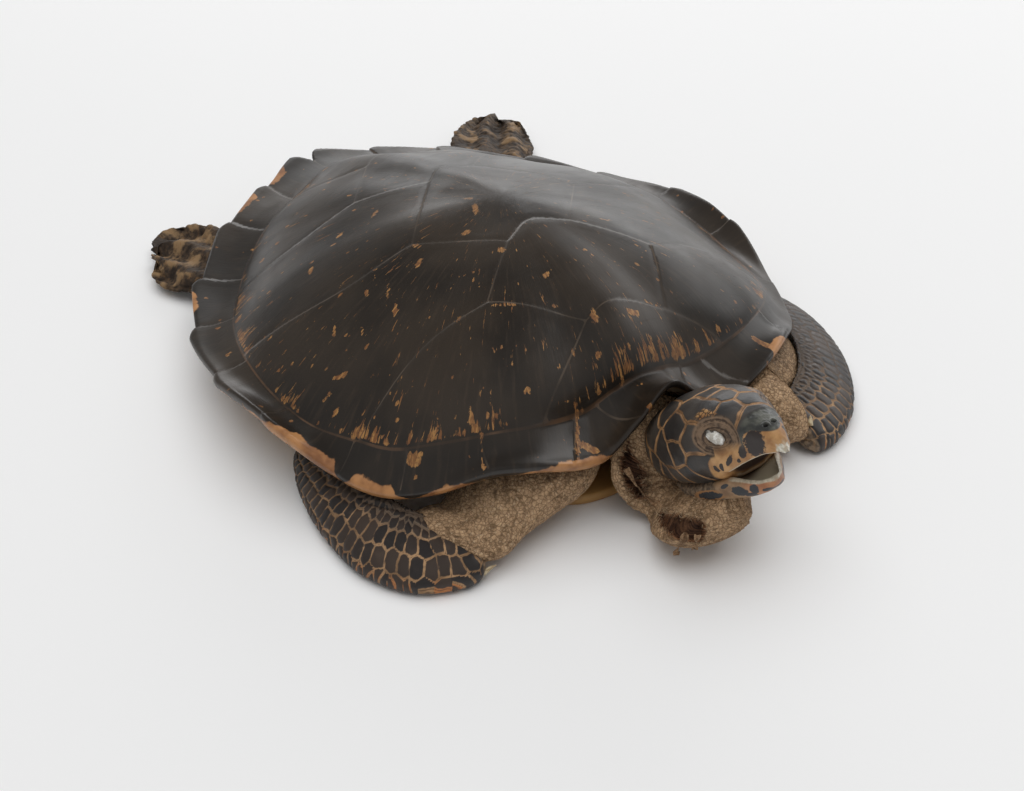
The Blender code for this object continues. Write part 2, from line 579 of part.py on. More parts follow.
def ellipsoid(name, place, size, mat, group):
    mesh = bpy.data.meshes.new(name)
    shape = bmesh.new()
    bmesh.ops.create_uvsphere(shape, u_segments=12, v_segments=8, radius=1.0,
                              matrix=Matrix.LocRotScale(Vector(place), None, Vector(size)))
    shape.to_mesh(mesh)
    shape.free()
    mesh.shade_smooth()
    if mat:
        mesh.materials.append(mat)
    made = bpy.data.objects.new(name, mesh)
    group.objects.link(made)
    return made


def mirrored(place, side):
    return (place[0] * side, place[1], place[2])


def build_head(mats, group, cutters):
    """Skull with its horn: one body with eye sockets and nostrils, over the separate lower jaw."""
    sections = [(f, 0, (crown + low) / 2, half, (crown - low) / 2, (crown - low) / 2)
                for f, half, crown, low in HEAD_SECTIONS]
    head = section_body("head", sections, HEAD_AXES, 20, 24, 0.85, mats["head"], group)
    for side, name in ((-1, "right"), (1, "left")):
        socket = ellipsoid(name + "_socket_cutter", mirrored(EYE_PLACE, side), SOCKET_SIZE, None, cutters)
        nostril = ellipsoid(name + "_nostril_cutter", mirrored(NOSTRIL_PLACE, side), [NOSTRIL_SIZE] * 3,
                            None, cutters)
        cut(head, *(pose_with_head(hide_cutter(c)) for c in (socket, nostril)))
        inner = (EYE_PLACE[0] - 0.0022, EYE_PLACE[1], EYE_PLACE[2])
        eye = ellipsoid(name + "_eye", mirrored(inner, side), EYE_SIZE, mats["eye"], group)
        pose_with_head(eye)
    return pose_with_head(head)


def build_lower_jaw(mat, group):
    sections = [(f, 0, (high + low) / 2, half, (high - low) / 2, (high - low) / 2)
                for f, half, high, low in JAW_SECTIONS]
    return pose_with_head(section_body("lower_jaw", sections, HEAD_AXES, 13, 16, 0.7, mat, group))


def head_cutter(group):
    """The space of the head and jaws, from behind the jaws forward, that the neck skin stays out of."""
    low = min(section[3] for section in JAW_SECTIONS) - CLEARANCE
    corners = ((-0.06, -0.13, low), (0.06, CLEARANCE, 0.13))
    mesh = bpy.data.meshes.new("head_cutter")
    shape = bmesh.new()
    centre = [(a + b) / 2 for a, b in zip(*corners)]
    size = [b - a for a, b in zip(*corners)]
    bmesh.ops.create_cube(shape, size=1.0, matrix=Matrix.LocRotScale(Vector(centre), None, Vector(size)))
    shape.to_mesh(mesh)
    shape.free()
    made = bpy.data.objects.new("head_cutter", mesh)
    group.objects.link(made)
    return pose_with_head(hide_cutter(made))


# ---- skin and limbs ---------------------------------------------------------------------------------
def build_flipper(name, outer, inner, thickness, rings, mat, group):
    """Blade between its two edges: thick along the leading edge, thin along the inner one."""
    a, b = spline(outer, rings), spline(inner, rings)
    thick = spline(thickness, rings)[:, 0]
    centre, chord = (a + b) / 2, b - a
    half = np.linalg.norm(chord, axis=1)
    chord /= half[:, None]
    along = np.gradient(centre, axis=0)
    normal = np.cross(along, chord)
    normal /= np.linalg.norm(normal, axis=1)[:, None]
    normal *= np.where(normal[:, 2] < 0, -1, 1)[:, None]
    turn = np.linspace(0, 2 * math.pi, 14, endpoint=False)
    c, s = np.cos(turn), np.sin(turn)
    body = np.where(s > 0, s, 0.7 * s) * (0.78 - 0.42 * c)
    made = [m + np.outer(c * h / 2, u) + np.outer(body * t / 2, n)
            for m, h, u, n, t in zip(centre, half, chord, normal, thick)]
    return add_object(name, *tube(made), mat, group)


def main():
    for old in list(bpy.data.objects):
        bpy.data.objects.remove(old, do_unlink=True)
    mats = {
        "scutes": material("scutes", (0.045, 0.035, 0.028), 0.28),
        "plastron": material("plastron_horn", (0.55, 0.36, 0.16), 0.40),
        "skin": material("dried_skin", (0.30, 0.23, 0.15), 0.75),
        "scales": material("flipper_scales", (0.07, 0.055, 0.045), 0.45),
        "head": material("head_scales", (0.09, 0.07, 0.055), 0.40),
        "beak": material("beak_horn", (0.42, 0.26, 0.12), 0.45),
        "eye": material("eye_filler", (0.75, 0.74, 0.70), 0.35),
    }
    turtle, cutters = collection("mounted_sea_turtle"), collection("cutters")
    shell_space, plastron_space = shell_cutter(cutters), plastron_cutter(cutters)
    build_carapace(mats["scutes"], turtle)
    build_plastron(mats["plastron"], turtle)
    build_head(mats, turtle, cutters)
    build_lower_jaw(mats["beak"], turtle)
    forward, backward, right, left = (0, -1, 0), (0, 1, 0), (-1, 0, 0), (1, 0, 0)
    upward, sideways = (0, 0, 1), (1, 0, 0)
    neck = section_body("neck", NECK_SECTIONS, (forward, sideways, upward), 18, 20, 1.0,
                        mats["skin"], turtle)
    right_shoulder = section_body("right_shoulder", RIGHT_SHOULDER_SECTIONS, (right, backward, upward),
                                  12, 18, 1.0, mats["skin"], turtle)
    left_shoulder = section_body("left_shoulder", LEFT_SHOULDER_SECTIONS, (left, backward, upward),
                                 12, 18, 1.0, mats["skin"], turtle)
    tail = section_body("tail", TAIL_SECTIONS, (backward, sideways, upward), 8, 12, 1.0,
                        mats["skin"], turtle)
    flippers = [build_flipper(name, *shape, rings, mats["scales"], turtle) for name, shape, rings in (
        ("right_front_flipper", RIGHT_FRONT_FLIPPER, 20), ("left_front_flipper", LEFT_FRONT_FLIPPER, 20),
        ("right_hind_flipper", RIGHT_HIND_FLIPPER, 11), ("left_hind_flipper", LEFT_HIND_FLIPPER, 11))]
    for piece in (neck, right_shoulder, left_shoulder, tail, *flippers):
        cut(piece, shell_space, plastron_space)
    cut(neck, head_cutter(cutters))


main()
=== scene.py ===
"""The looks of a mounted juvenile hawksbill turtle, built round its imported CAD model. Metres, +Z up."""

import math

import bmesh
import bpy
import numpy as np
from mathutils import Euler, Matrix, Vector, noise
from mathutils.geometry import delaunay_2d_cdt
from mathutils.kdtree import KDTree


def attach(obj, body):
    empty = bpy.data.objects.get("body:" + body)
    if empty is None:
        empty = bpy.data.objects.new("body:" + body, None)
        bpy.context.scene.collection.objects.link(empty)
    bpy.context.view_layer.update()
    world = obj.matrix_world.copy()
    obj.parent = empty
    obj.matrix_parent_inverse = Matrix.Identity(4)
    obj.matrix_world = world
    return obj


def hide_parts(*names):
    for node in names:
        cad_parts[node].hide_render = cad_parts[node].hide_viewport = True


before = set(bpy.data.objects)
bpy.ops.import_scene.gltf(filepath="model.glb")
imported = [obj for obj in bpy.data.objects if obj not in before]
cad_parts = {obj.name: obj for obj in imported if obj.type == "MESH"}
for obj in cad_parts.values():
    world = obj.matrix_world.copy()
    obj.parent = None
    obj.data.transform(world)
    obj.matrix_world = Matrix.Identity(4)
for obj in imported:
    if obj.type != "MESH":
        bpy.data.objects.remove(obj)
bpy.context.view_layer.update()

# ---- Studio ------------------------------------------------------------------------------------------
# A white table in a pale room: one very wide light overhead, a low softbox behind the shell and a window at
# its left for the sheen, and walls that are bright near the table and dimmer above. The camera looks down
# over the right shoulder.
scene = bpy.context.scene
scene.view_settings.view_transform = "Standard"

CAMERA_PLACE = (-0.5621, -0.8166, 0.7082)
CAMERA_TURN, CAMERA_DROP = -36.32, 37.508
camera = bpy.data.objects.new("camera", bpy.data.cameras.new("camera"))
camera.data.sensor_width = 36.0
camera.data.lens = 66.7
camera.location = CAMERA_PLACE
camera.rotation_euler = (math.radians(90 - CAMERA_DROP), 0, math.radians(CAMERA_TURN))
scene.collection.objects.link(camera)
scene.camera = camera


def light_object(name, lamp, place, aim=(0, 0, 0.05)):
    made = bpy.data.objects.new(name, lamp)
    made.location = place
    made.rotation_euler = (Vector(aim) - Vector(place)).to_track_quat("-Z", "Y").to_euler()
    scene.collection.objects.link(made)
    return made


overhead = bpy.data.lights.new("overhead", "SUN")
overhead.energy, overhead.angle = 1.80, math.radians(80)
light_object("overhead", overhead, (0.15, 0.25, 2.2)).visible_glossy = False
softbox = bpy.data.lights.new("back_softbox", "AREA")
softbox.shape, softbox.size, softbox.size_y, softbox.energy = "RECTANGLE", 2.2, 0.8, 13
light_object("back_softbox", softbox, (1.55, 1.70, 0.72))
window = bpy.data.lights.new("side_window", "AREA")
window.shape, window.size, window.size_y, window.energy = "RECTANGLE", 2.6, 1.5, 22
light_object("side_window", window, (1.95, -0.10, 1.20)).visible_diffuse = False

WALL_LIGHT, CEILING_LIGHT, CAMERA_SIDE_LIGHT = 1.35, 0.66, 1.60
room = bpy.data.worlds.new("room")
room.use_nodes = True
background = room.node_tree.nodes["Background"]
background.inputs["Color"].default_value = (0.22, 0.22, 0.22, 1.0)
scene.world = room


class Value:
    """A shader socket that takes part in arithmetic: an expression on values adds its Math nodes."""

    def __init__(self, finish, socket):
        self.finish, self.socket = finish, socket

    def math(self, operation, *terms):
        return self.finish.add("ShaderNodeMath", {"operation": operation}, dict(enumerate(terms)))

    def __add__(self, other):
        return self.math("ADD", self, other)

    def __sub__(self, other):
        return self.math("SUBTRACT", self, other)

    def __rsub__(self, other):
        return self.math("SUBTRACT", other, self)

    def __mul__(self, other):
        return self.math("MULTIPLY", self, other)

    __radd__, __rmul__ = __add__, __mul__

    def over(self, low, high):
        """0 below low, 1 above high, smooth between; low above high turns it round."""
        settings = {"interpolation_type": "SMOOTHSTEP"}
        ends = {0: self, 1: low, 2: high} if low < high else {0: self, 1: high, 2: low}
        share = self.finish.add("ShaderNodeMapRange", settings, ends)
        return share if low < high else 1 - share

    def at_least(self, other):
        return self.math("MAXIMUM", self, other)

    def at_most(self, other):
        return self.math("MINIMUM", self, other)


class Finish:
    """A procedural material under construction."""

    def __init__(self, name, **constants):
        self.material = bpy.data.materials.new(name)
        self.material.use_nodes = True
        self.nodes, self.links = self.material.node_tree.nodes, self.material.node_tree.links
        self.shader = self.nodes["Principled BSDF"]
        for socket, value in constants.items():
            self.shader.inputs[socket.replace("_", " ")].default_value = value
        self.place = self.add("ShaderNodeTexCoord", out="Object")

    def add(self, kind, settings=None, values=None, out=0):
        """Any node: its settings first, then its sockets' values or links."""
        node = self.nodes.new(kind)
        for key, value in (settings or {}).items():
            setattr(node, key, value)
        for key, value in (values or {}).items():
            if isinstance(value, Value):
                self.links.new(value.socket, node.inputs[key])
            else:
                colour = node.inputs[key].type == "RGBA"
                node.inputs[key].default_value = (*value, 1.0) if colour else value
        return Value(self, node.outputs[out])

    def noise(self, scale, where=None, detail=2.0, roughness=0.5, distortion=0.0):
        return self.add("ShaderNodeTexNoise", None, {
            "Vector": where or self.place, "Scale": scale, "Detail": detail, "Roughness": roughness,
            "Distortion": distortion})

    def cells(self, scale, where=None, feature="F1", out=0):
        return self.add("ShaderNodeTexVoronoi", {"feature": feature},
                        {"Vector": where or self.place, "Scale": scale}, out)

    def stretch(self, where, scale, turn=(0, 0, 0)):
        return self.add("ShaderNodeMapping", None, {"Vector": where, "Scale": scale, "Rotation": turn})

    def attribute(self, name, out="Fac"):
        return self.add("ShaderNodeAttribute", {"attribute_name": name}, out=out)

    def mix(self, share, first, second):
        return self.add("ShaderNodeMix", {"data_type": "RGBA"}, {0: share, 6: first, 7: second}, 2)

    def bump(self, height, distance, strength):
        values = {"Height": height, "Distance": distance, "Strength": strength}
        return self.add("ShaderNodeBump", None, values)

    def shade(self, **sockets):
        for socket, value in sockets.items():
            self.links.new(value.socket, self.shader.inputs[socket.replace("_", " ")])
        return self.material


class RoomLight(Finish):
    """The room's light by direction, made with the same expressions as a material."""

    def __init__(self, tree):
        self.nodes, self.links = tree.nodes, tree.links
        self.place = self.add("ShaderNodeTexCoord", out="Generated")


walls = RoomLight(room.node_tree)
toward_x, toward_y, toward_z = (
    walls.add("ShaderNodeSeparateXYZ", None, {0: walls.place}, k) for k in range(3))
behind_camera = (toward_x * -0.59 + toward_y * -0.81).over(-0.35, 0.45)
wall_light = CEILING_LIGHT + (WALL_LIGHT - CEILING_LIGHT) * toward_z.over(0.95, 0.42)
wall_light = wall_light * (1 - behind_camera) + behind_camera * CAMERA_SIDE_LIGHT
room.node_tree.links.new(wall_light.socket, background.inputs["Strength"])

table = Finish("white_table", Roughness=0.6, Specular_IOR_Level=0.2)
table_tone = table.noise(1.3, detail=1.0)
table.shade(Base_Color=table.mix(table_tone, (0.93, 0.93, 0.93), (0.955, 0.955, 0.955)))
TABLE_SIZE = 12.0
mesh = bpy.data.meshes.new("table")
shape = bmesh.new()
bmesh.ops.create_grid(shape, x_segments=8, y_segments=8, size=TABLE_SIZE / 2)
shape.to_mesh(mesh)
shape.free()
mesh.materials.append(table.material)
floor = bpy.data.objects.new("table", mesh)
floor.location = (0, 0, -0.0002)
scene.collection.objects.link(floor)

# ---- Carapace ----------------------------------------------------------------------------------------
# The upper shell: a bony dome under glossy, dark brown horn scutes with amber flecks. Each scute grows
# from its front, so its rear edge stands over the next one, and the rim is saw-toothed towards the tail.
SHELL_MIDDLE_Y = -0.040
APEX_HEIGHT = 0.119
SHELL_WALL = 0.005
GUTTER_DEPTH, NAPE_HOLLOW = 0.0015, 0.0030
KEEL_HEIGHT, KEEL_WIDTH = 0.0016, 0.013
LEDGE, RIM_LEDGE = 0.0005, 0.0006
SEAM_HALF_GAP = 0.00022
SCUTE_STEP = 0.00145
UNDER_STEP = 0.007
EDGE_UNDERCUT = 0.0025
# rows of points down the edge of the shell and of the plastron
EDGE_ROWS = 5
# long and short dents: size and depth; then the scutes' swelling and how far from a seam both are full
DENTS = ((0.070, 0.0008), (0.024, 0.00022))
CUSHION, CUSHION_WIDTH, DENT_FADE = 0.00018, 0.004, 0.006
EDGE_ROUNDING, ROUNDING_WIDTH, EDGE_BULGE = 0.0006, 0.0010, 0.22
# angle from the nape, then radius, rim height, width of the marginal band, height of the crease at its
# inner side, and thickness of the edge
RIM_STATIONS = np.array((
    (0, 0.160, 0.082, 0.027, 0.068, 0.005), (8, 0.161, 0.064, 0.027, 0.065, 0.006),
    (16, 0.164, 0.048, 0.026, 0.060, 0.007), (30, 0.173, 0.057, 0.021, 0.066, 0.008),
    (38, 0.176, 0.057, 0.018, 0.067, 0.009), (48, 0.178, 0.042, 0.016, 0.061, 0.009),
    (57, 0.179, 0.034, 0.015, 0.053, 0.009), (66, 0.178, 0.037, 0.016, 0.049, 0.009),
    (78, 0.178, 0.048, 0.017, 0.044, 0.009), (90, 0.178, 0.050, 0.018, 0.044, 0.009),
    (103, 0.180, 0.042, 0.019, 0.045, 0.008), (118, 0.185, 0.034, 0.022, 0.041, 0.007),
    (132, 0.191, 0.033, 0.026, 0.036, 0.005), (145, 0.198, 0.034, 0.028, 0.038, 0.004),
    (157, 0.207, 0.037, 0.031, 0.044, 0.0035), (169, 0.2155, 0.039, 0.032, 0.045, 0.0035),
    (180, 0.230, 0.041, 0.033, 0.044, 0.0035)))
RADIUS, RIM_HEIGHT, BAND, CREASE_HEIGHT, EDGE = range(1, 6)
# where the left side departs from the table: middle angle, spread and change
LEFT_SHAPE = {
    RADIUS: ((90, 28, -0.0040),),
    BAND: ((90, 28, -0.0040), (65, 35, 0.0020)),
    CREASE_HEIGHT: ((68, 33, -0.0045),),
    RIM_HEIGHT: ((107, 9, 0.0025), (75, 12, -0.0055)),
}
LEFT_FLATTENING = (95, 40, -0.15, -0.05)
FRONT_FULLNESS, SIDE_FULLNESS, REAR_FULLNESS = (3.0, 1.6), (1.95, 1.07), (1.6, 1.2)
# marginal seams of one side: angle at the rim and angle at the crease
MARGINAL_SEAMS = ((7, 13), (22, 19), (38, 40), (54, 54), (66, 66), (85, 85), (104, 104), (123, 123),
                  (139, 139), (156.5, 155), (169, 167), (180, 180))
MARGINAL_RADIUS = 0.190
TOOTH_START, TOOTH_FULL, TOOTH_HEIGHT, TOOTH_TIP = 60, 140, 0.0055, 0.85
TAIL_NOTCH, TAIL_NOTCH_ANGLE = 0.012, 2.5
JUNCTIONS = {"right": ((-0.018, -0.146), (-0.022, -0.078), (-0.015, 0.012), (-0.014, 0.086)),
             "left": ((0.034, -0.154), (0.020, -0.081), (0.017, 0.012), (0.014, 0.086))}
SEAM_TIPS = ((0.003, -0.143), (0.000, -0.069), (0.000, 0.022), (0.000, 0.094))
CORNERS = {"right": ((-0.059, -0.109), (-0.061, -0.037), (-0.050, 0.044)),
           "left": ((0.052, -0.117), (0.057, -0.038), (0.050, 0.044))}
COSTAL_SEAMS = {"right": ((-27, (-0.040, -0.158)), (-65, (-0.100, -0.102)), (-106, (-0.105, -0.027)),
                          (-133, (-0.086, 0.053)), (-165, (-0.032, 0.108))),
                "left": ((25, (0.048, -0.163)), (57, (0.096, -0.118)), (104, (0.104, -0.028)),
                         (133, (0.086, 0.053)), (165, (0.032, 0.108)))}

# the forty largest flecks: place on the shell, half length and half width in mm, and direction in the plan
LARGE_FLECKS = (
    (-54, 15, 5.0, 1.5, 25), (-75, 20, 3.0, 1.2, 10), (9, 62, 2.6, 1.8, 50), (-103, 9, 3.4, 1.8, 50),
    (-14, -29, 4.0, 1.0, -60), (-18, -40, 4.6, 1.2, 55), (-34, -54, 2.8, 1.5, -20),
    (-30, -82, 2.4, 1.9, -35), (-61, -39, 3.0, 1.5, 0), (-66, -52, 4.0, 2.2, 30),
    (-88, -38, 5.5, 1.3, 48), (-97, -43, 3.2, 1.8, 48), (-90, -55, 5.5, 1.3, 52),
    (-93, -67, 5.0, 1.5, 52), (-112, -61, 4.6, 1.5, 52), (-120, -44, 4.0, 1.1, 54),
    (-134, -71, 4.2, 2.3, -40), (-145, -73, 3.2, 1.3, -20), (-76, -105, 3.8, 1.7, 20),
    (-56, -114, 4.2, 1.7, -40), (-48, -121, 4.6, 1.0, -44), (-20, -112, 4.4, 1.5, 10),
    (-29, -131, 2.8, 0.9, -35), (-102, -153, 5.0, 1.3, 54), (-46, -158, 2.6, 1.2, 54),
    (-50, -170, 2.4, 1.6, 0), (-13, -146, 3.8, 2.3, 70), (11, -152, 4.4, 2.4, -25),
    (27, -150, 5.0, 1.2, -30), (11, -168, 3.2, 1.5, -40), (-21, -161, 3.2, 1.5, 30),
    (33, -170, 3.6, 2.4, -30), (41, -164, 4.4, 0.8, -55), (62, -168, 4.6, 1.2, -72),
    (11, -108, 3.6, 1.4, -30), (42, -89, 3.0, 0.9, -30), (-13, -172, 4.2, 2.2, 40),
    (-160, 17, 3.6, 1.0, -35), (-64, 158, 6.0, 1.0, 12), (-28, 177, 5.0, 1.0, 5))
# amber on the rim's edge: angle, and how far it climbs from the rim's lower edge, in metres
RIM_AMBER = np.array((
    (-180, -0.004), (-177, 0.002), (-174, 0.0150), (-170, 0.0135), (-168, -0.002), (-165, 0.0150),
    (-160, 0.0130), (-157, -0.002), (-150, 0.004), (-140, -0.002), (-133, 0.0125), (-129, 0.0105),
    (-124, -0.004), (-105, 0.0005), (-90, 0.0020), (-82, 0.0085), (-77, 0.0150), (-68, 0.0150),
    (-65.5, 0.001), (-63, 0.0130), (-56, 0.0120), (-52, -0.001), (-48, 0.0090), (-43, 0.0070),
    (-38, -0.004), (-30, 0.0040), (-26, 0.0085), (-20, 0.0120), (-16, 0.0115), (-12, -0.004),
    (22, -0.004), (25, 0.0030), (29, -0.002), (31, 0.0130), (34.5, 0.0120), (37, 0.0), (50, -0.004),
    (75, 0.0010), (110, -0.004), (180, -0.004)))
# amber that follows the joints of the marginal scutes: places of one joint's inner and outer end, half width
JOINT_AMBER = (
    ((-44, -172), (-60, -195), 1.2), ((-50, -186), (-47, -192), 2.6), ((-100, -160), (-110, -176), 0.9),
    ((-134, -140), (-131, -144), 2.2), ((84, -176), (92, -190), 1.6))
# how far a fleck can reach, what stands for no fleck and for no seam, the radius at which the growth lines
# are drawn true, and the depth of the shell's edge, all in metres
FLECK_REACH, NO_FLECK, NO_SEAM = 0.013, -0.006, 0.02
GROWTH_RADIUS, EDGE_DROP = 0.150, 0.009


def smooth(x, xs, ys):
    """Curve through the stations (xs, ys), level at both ends."""
    xs, ys = np.asarray(xs, float), np.asarray(ys, float)
    slope = np.zeros(len(xs))
    slope[1:-1] = (ys[2:] - ys[:-2]) / (xs[2:] - xs[:-2])
    i = np.clip(np.searchsorted(xs, x, side="right") - 1, 0, len(xs) - 2)
    step = xs[i + 1] - xs[i]
    t = (x - xs[i]) / step
    return (ys[i] * (1 + 2 * t) * (1 - t) ** 2 + slope[i] * step * t * (1 - t) ** 2
            + ys[i + 1] * t * t * (3 - 2 * t) + slope[i + 1] * step * t * t * (t - 1))


def spline(points, count):
    """count points over a Catmull-Rom curve through the given points."""
    pts = np.asarray(points, float)
    if pts.ndim == 1:
        pts = pts[:, None]
    pts = np.vstack([2 * pts[0] - pts[1], pts, 2 * pts[-1] - pts[-2]])
    t = np.linspace(0, len(pts) - 3, count)
    i = np.minimum(t.astype(int), len(pts) - 4)
    u = (t - i)[:, None]
    a, b, c, d = pts[i], pts[i + 1], pts[i + 2], pts[i + 3]
    return 0.5 * (2 * b + (c - a) * u + (2 * a - 5 * b + 4 * c - d) * u ** 2
                  + (3 * b - a - 3 * c + d) * u ** 3)


def line(a, b, step):
    return np.linspace(a, b, max(2, int(math.dist(a, b) / step) + 1))


def curve(points, step):
    length = sum(math.dist(a, b) for a, b in zip(points, points[1:]))
    return spline(points, max(3, int(length / step) + 1))


def inside(points, outline):
    """Which plan points lie inside a closed outline."""
    low, high = outline.min(0), outline.max(0)
    near = np.where(((points > low) & (points < high)).all(1))[0]
    x, y = points[near, 0], points[near, 1]
    hit = np.zeros(len(near), bool)
    for (ax, ay), (bx, by) in zip(outline, np.roll(outline, -1, 0)):
        crossing = (ay > y) != (by > y)
        if by != ay:
            hit ^= crossing & (x < ax + (y - ay) * (bx - ax) / (by - ay))
    found = np.zeros(len(points), bool)
    found[near[hit]] = True
    return found


def distance_to(points, fixed):
    """Distance from each point to the nearest of some fixed ones."""
    tree = KDTree(len(fixed))
    for i, p in enumerate(fixed):
        tree.insert((*p[:2], p[2] if len(p) > 2 else 0.0), i)
    tree.balance()
    return np.array([tree.find((*p[:2], p[2] if len(p) > 2 else 0.0))[2] for p in points])


def ring_edges(count, base=0):
    """Pairs of neighbouring point numbers round a closed ring."""
    return [(base + i, base + (i + 1) % count) for i in range(count)]


def stitched(rings):
    """Faces between closed rings of point numbers, each ring below the one before."""
    return [(upper[j], upper[i], lower[i], lower[j]) for upper, lower in zip(rings, rings[1:])
            for i, j in ring_edges(len(upper))]


def triangulated(points, edges, tolerance):
    """Triangles over plan points that keep the given edges: places, faces, and the place of each point."""
    verts, _, faces, origins, _, _ = delaunay_2d_cdt([Vector(p) for p in points], edges, [], 1, tolerance)
    return (np.array([tuple(v) for v in verts]), [tuple(f) for f in faces],
            {origin[0]: i for i, origin in enumerate(origins) if origin})


def spread(outline, fixed, step):
    """Evenly staggered plan points inside an outline, clear of the fixed points."""
    low, high = outline.min(0), outline.max(0)
    rows = np.arange(low[1], high[1], step * 0.87)
    grid = np.array([(x + (i % 2) * step / 2, y) for i, y in enumerate(rows)
                     for x in np.arange(low[0], high[0], step)])
    grid = grid[inside(grid, outline)]
    return grid[distance_to(grid, fixed) > 0.6 * step]


def bell(angle, middle, spread_angle):
    return np.exp(-((np.asarray(angle, float) - middle) / spread_angle) ** 2)


def station(angle, column):
    """Value of the rim table at an angle, with the left side's own shape."""
    value = smooth(np.abs(angle), RIM_STATIONS[:, 0], RIM_STATIONS[:, column])
    for middle, spread_angle, change in LEFT_SHAPE.get(column, ()):
        value = value + change * bell(angle, middle, spread_angle)
    return value


def plan_point(angle, radius):
    a = np.radians(angle)
    return np.stack([np.sin(a) * radius, SHELL_MIDDLE_Y - np.cos(a) * radius], -1)


def polar(x, y):
    dx, dy = np.asarray(x, float), np.asarray(y, float) - SHELL_MIDDLE_Y
    return np.degrees(np.arctan2(dx, -dy)), np.hypot(dx, dy)


def shell_top(x, y):
    """Height of the carapace over a plan point, without its ledges."""
    angle, radius = polar(x, y)
    rim, rim_z, band, crease_z = (station(angle, k) for k in (RADIUS, RIM_HEIGHT, BAND, CREASE_HEIGHT))
    crease = rim - band
    facing = np.cos(np.radians(angle))
    front, rear = np.maximum(facing, 0) ** 4, np.maximum(-facing, 0) ** 2
    power, root = (s + (f - s) * front + (r - s) * rear
                   for f, s, r in zip(FRONT_FULLNESS, SIDE_FULLNESS, REAR_FULLNESS))
    flat_middle, flat_spread, power_change, root_change = LEFT_FLATTENING
    power = power + power_change * bell(angle, flat_middle, flat_spread)
    root = root + root_change * bell(angle, flat_middle, flat_spread)
    share = np.minimum(radius / crease, 1)
    dome = crease_z + (APEX_HEIGHT - crease_z) * (1 - share ** power) ** (1 / root)
    behind = np.clip((y - SHELL_MIDDLE_Y) / 0.08 + 0.5, 0, 1)
    keel = KEEL_HEIGHT * behind * np.exp(-(np.asarray(x) / KEEL_WIDTH) ** 2)
    across = np.clip((radius - crease) / band, 0, 1.3)
    hollow = (GUTTER_DEPTH + NAPE_HOLLOW * front) * np.sin(np.pi * np.minimum(across, 1))
    flare = crease_z + (rim_z - crease_z) * across - hollow
    return np.where(radius < crease, dome + keel, flare)


def shell_bottom(x, y):
    angle, radius = polar(x, y)
    band = station(angle, BAND)
    across = np.clip((radius - station(angle, RADIUS) + band) / band, 0, 1)
    return shell_top(x, y) - SHELL_WALL - (station(angle, EDGE) - SHELL_WALL) * across


def crease_run(first, last, step):
    count = max(2, int(abs(math.radians(last - first)) * MARGINAL_RADIUS / step) + 1)
    angles = np.linspace(first, last, count)
    wrapped = (angles + 180) % 360 - 180
    return plan_point(angles, station(wrapped, RADIUS) - station(wrapped, BAND))


def joined(*runs):
    """One anticlockwise outline from runs that meet end to end."""
    outline = np.vstack([run[:-1] for run in runs])
    x, y = outline[:, 0], outline[:, 1]
    area = (x * np.roll(y, -1) - y * np.roll(x, -1)).sum()
    return outline if area > 0 else outline[::-1]


def inset(outline, distance):
    """An anticlockwise outline moved inwards."""
    first, second = outline - np.roll(outline, 1, 0), np.roll(outline, -1, 0) - outline
    n1, n2 = (np.stack([-e[:, 1], e[:, 0]], 1) / np.linalg.norm(e, axis=1)[:, None] for e in (first, second))
    mean = n1 + n2
    mean /= np.maximum((mean * n1).sum(1), 0.5)[:, None]
    return outline + mean * distance


def dome_scutes(step):
    """Outlines of the 5 vertebral and 8 costal scutes, which fill the shell inside the crease."""
    arches = [curve(points, step) for points in zip(JUNCTIONS["right"], SEAM_TIPS, JUNCTIONS["left"])]
    side_runs = {}
    for side in ("right", "left"):
        junctions, corners, seams = JUNCTIONS[side], CORNERS[side], COSTAL_SEAMS[side]
        starts = (junctions[0], *corners, junctions[3])
        ends = [crease_run(angle, angle, step)[0] for angle, _ in seams]
        costal = [curve([a, bow, tuple(e)], step) for a, (_, bow), e in zip(starts, seams, ends)]
        edge = [crease_run(a[0], b[0], step) for a, b in zip(seams, seams[1:])]
        forward = [line(j, c, step) for j, c in zip(junctions[:3], corners)]
        backward = [line(c, j, step) for c, j in zip(corners, junctions[1:])]
        side_runs[side] = costal, edge, forward, backward
    (rc, _, rf, rb), (lc, _, lf, lb) = side_runs["right"], side_runs["left"]
    nape = crease_run(COSTAL_SEAMS["right"][0][0], COSTAL_SEAMS["left"][0][0], step)
    tail = crease_run(COSTAL_SEAMS["left"][4][0], 360 + COSTAL_SEAMS["right"][4][0], step)
    scutes = [joined(nape, lc[0][::-1], arches[0][::-1], rc[0])]
    for n in range(3):
        scutes.append(joined(arches[n], lf[n], lb[n], arches[n + 1][::-1], rb[n][::-1], rf[n][::-1]))
    scutes.append(joined(arches[3], lc[4], tail, rc[4][::-1]))
    for costal, edge, forward, backward in side_runs.values():
        scutes.append(joined(costal[0], edge[0], costal[1][::-1], forward[0][::-1]))
        for n in (1, 2):
            scutes.append(joined(costal[n], edge[n], costal[n + 1][::-1], forward[n][::-1],
                                 backward[n - 1][::-1]))
        scutes.append(joined(costal[3], edge[3], costal[4][::-1], backward[2][::-1]))
    return [inset(outline, SEAM_HALF_GAP) for outline in scutes]


def tooth(angle, start, end):
    """How far a marginal scute stands out of the even rim: most near its rear corner."""
    height = TOOTH_HEIGHT * np.clip((end - TOOTH_START) / (TOOTH_FULL - TOOTH_START), 0, 1)
    along = np.clip((np.abs(angle) - start) / (end - start), 0, 1)
    climb = (np.minimum(along, TOOTH_TIP) / TOOTH_TIP) ** 1.6
    fall = (np.maximum(along - TOOTH_TIP, 0) / (1 - TOOTH_TIP)) ** 2
    to_tail = 180 - np.abs(angle)
    return height * (climb - 0.8 * fall) - TAIL_NOTCH * np.clip(1 - to_tail / TAIL_NOTCH_ANGLE, 0, 1)


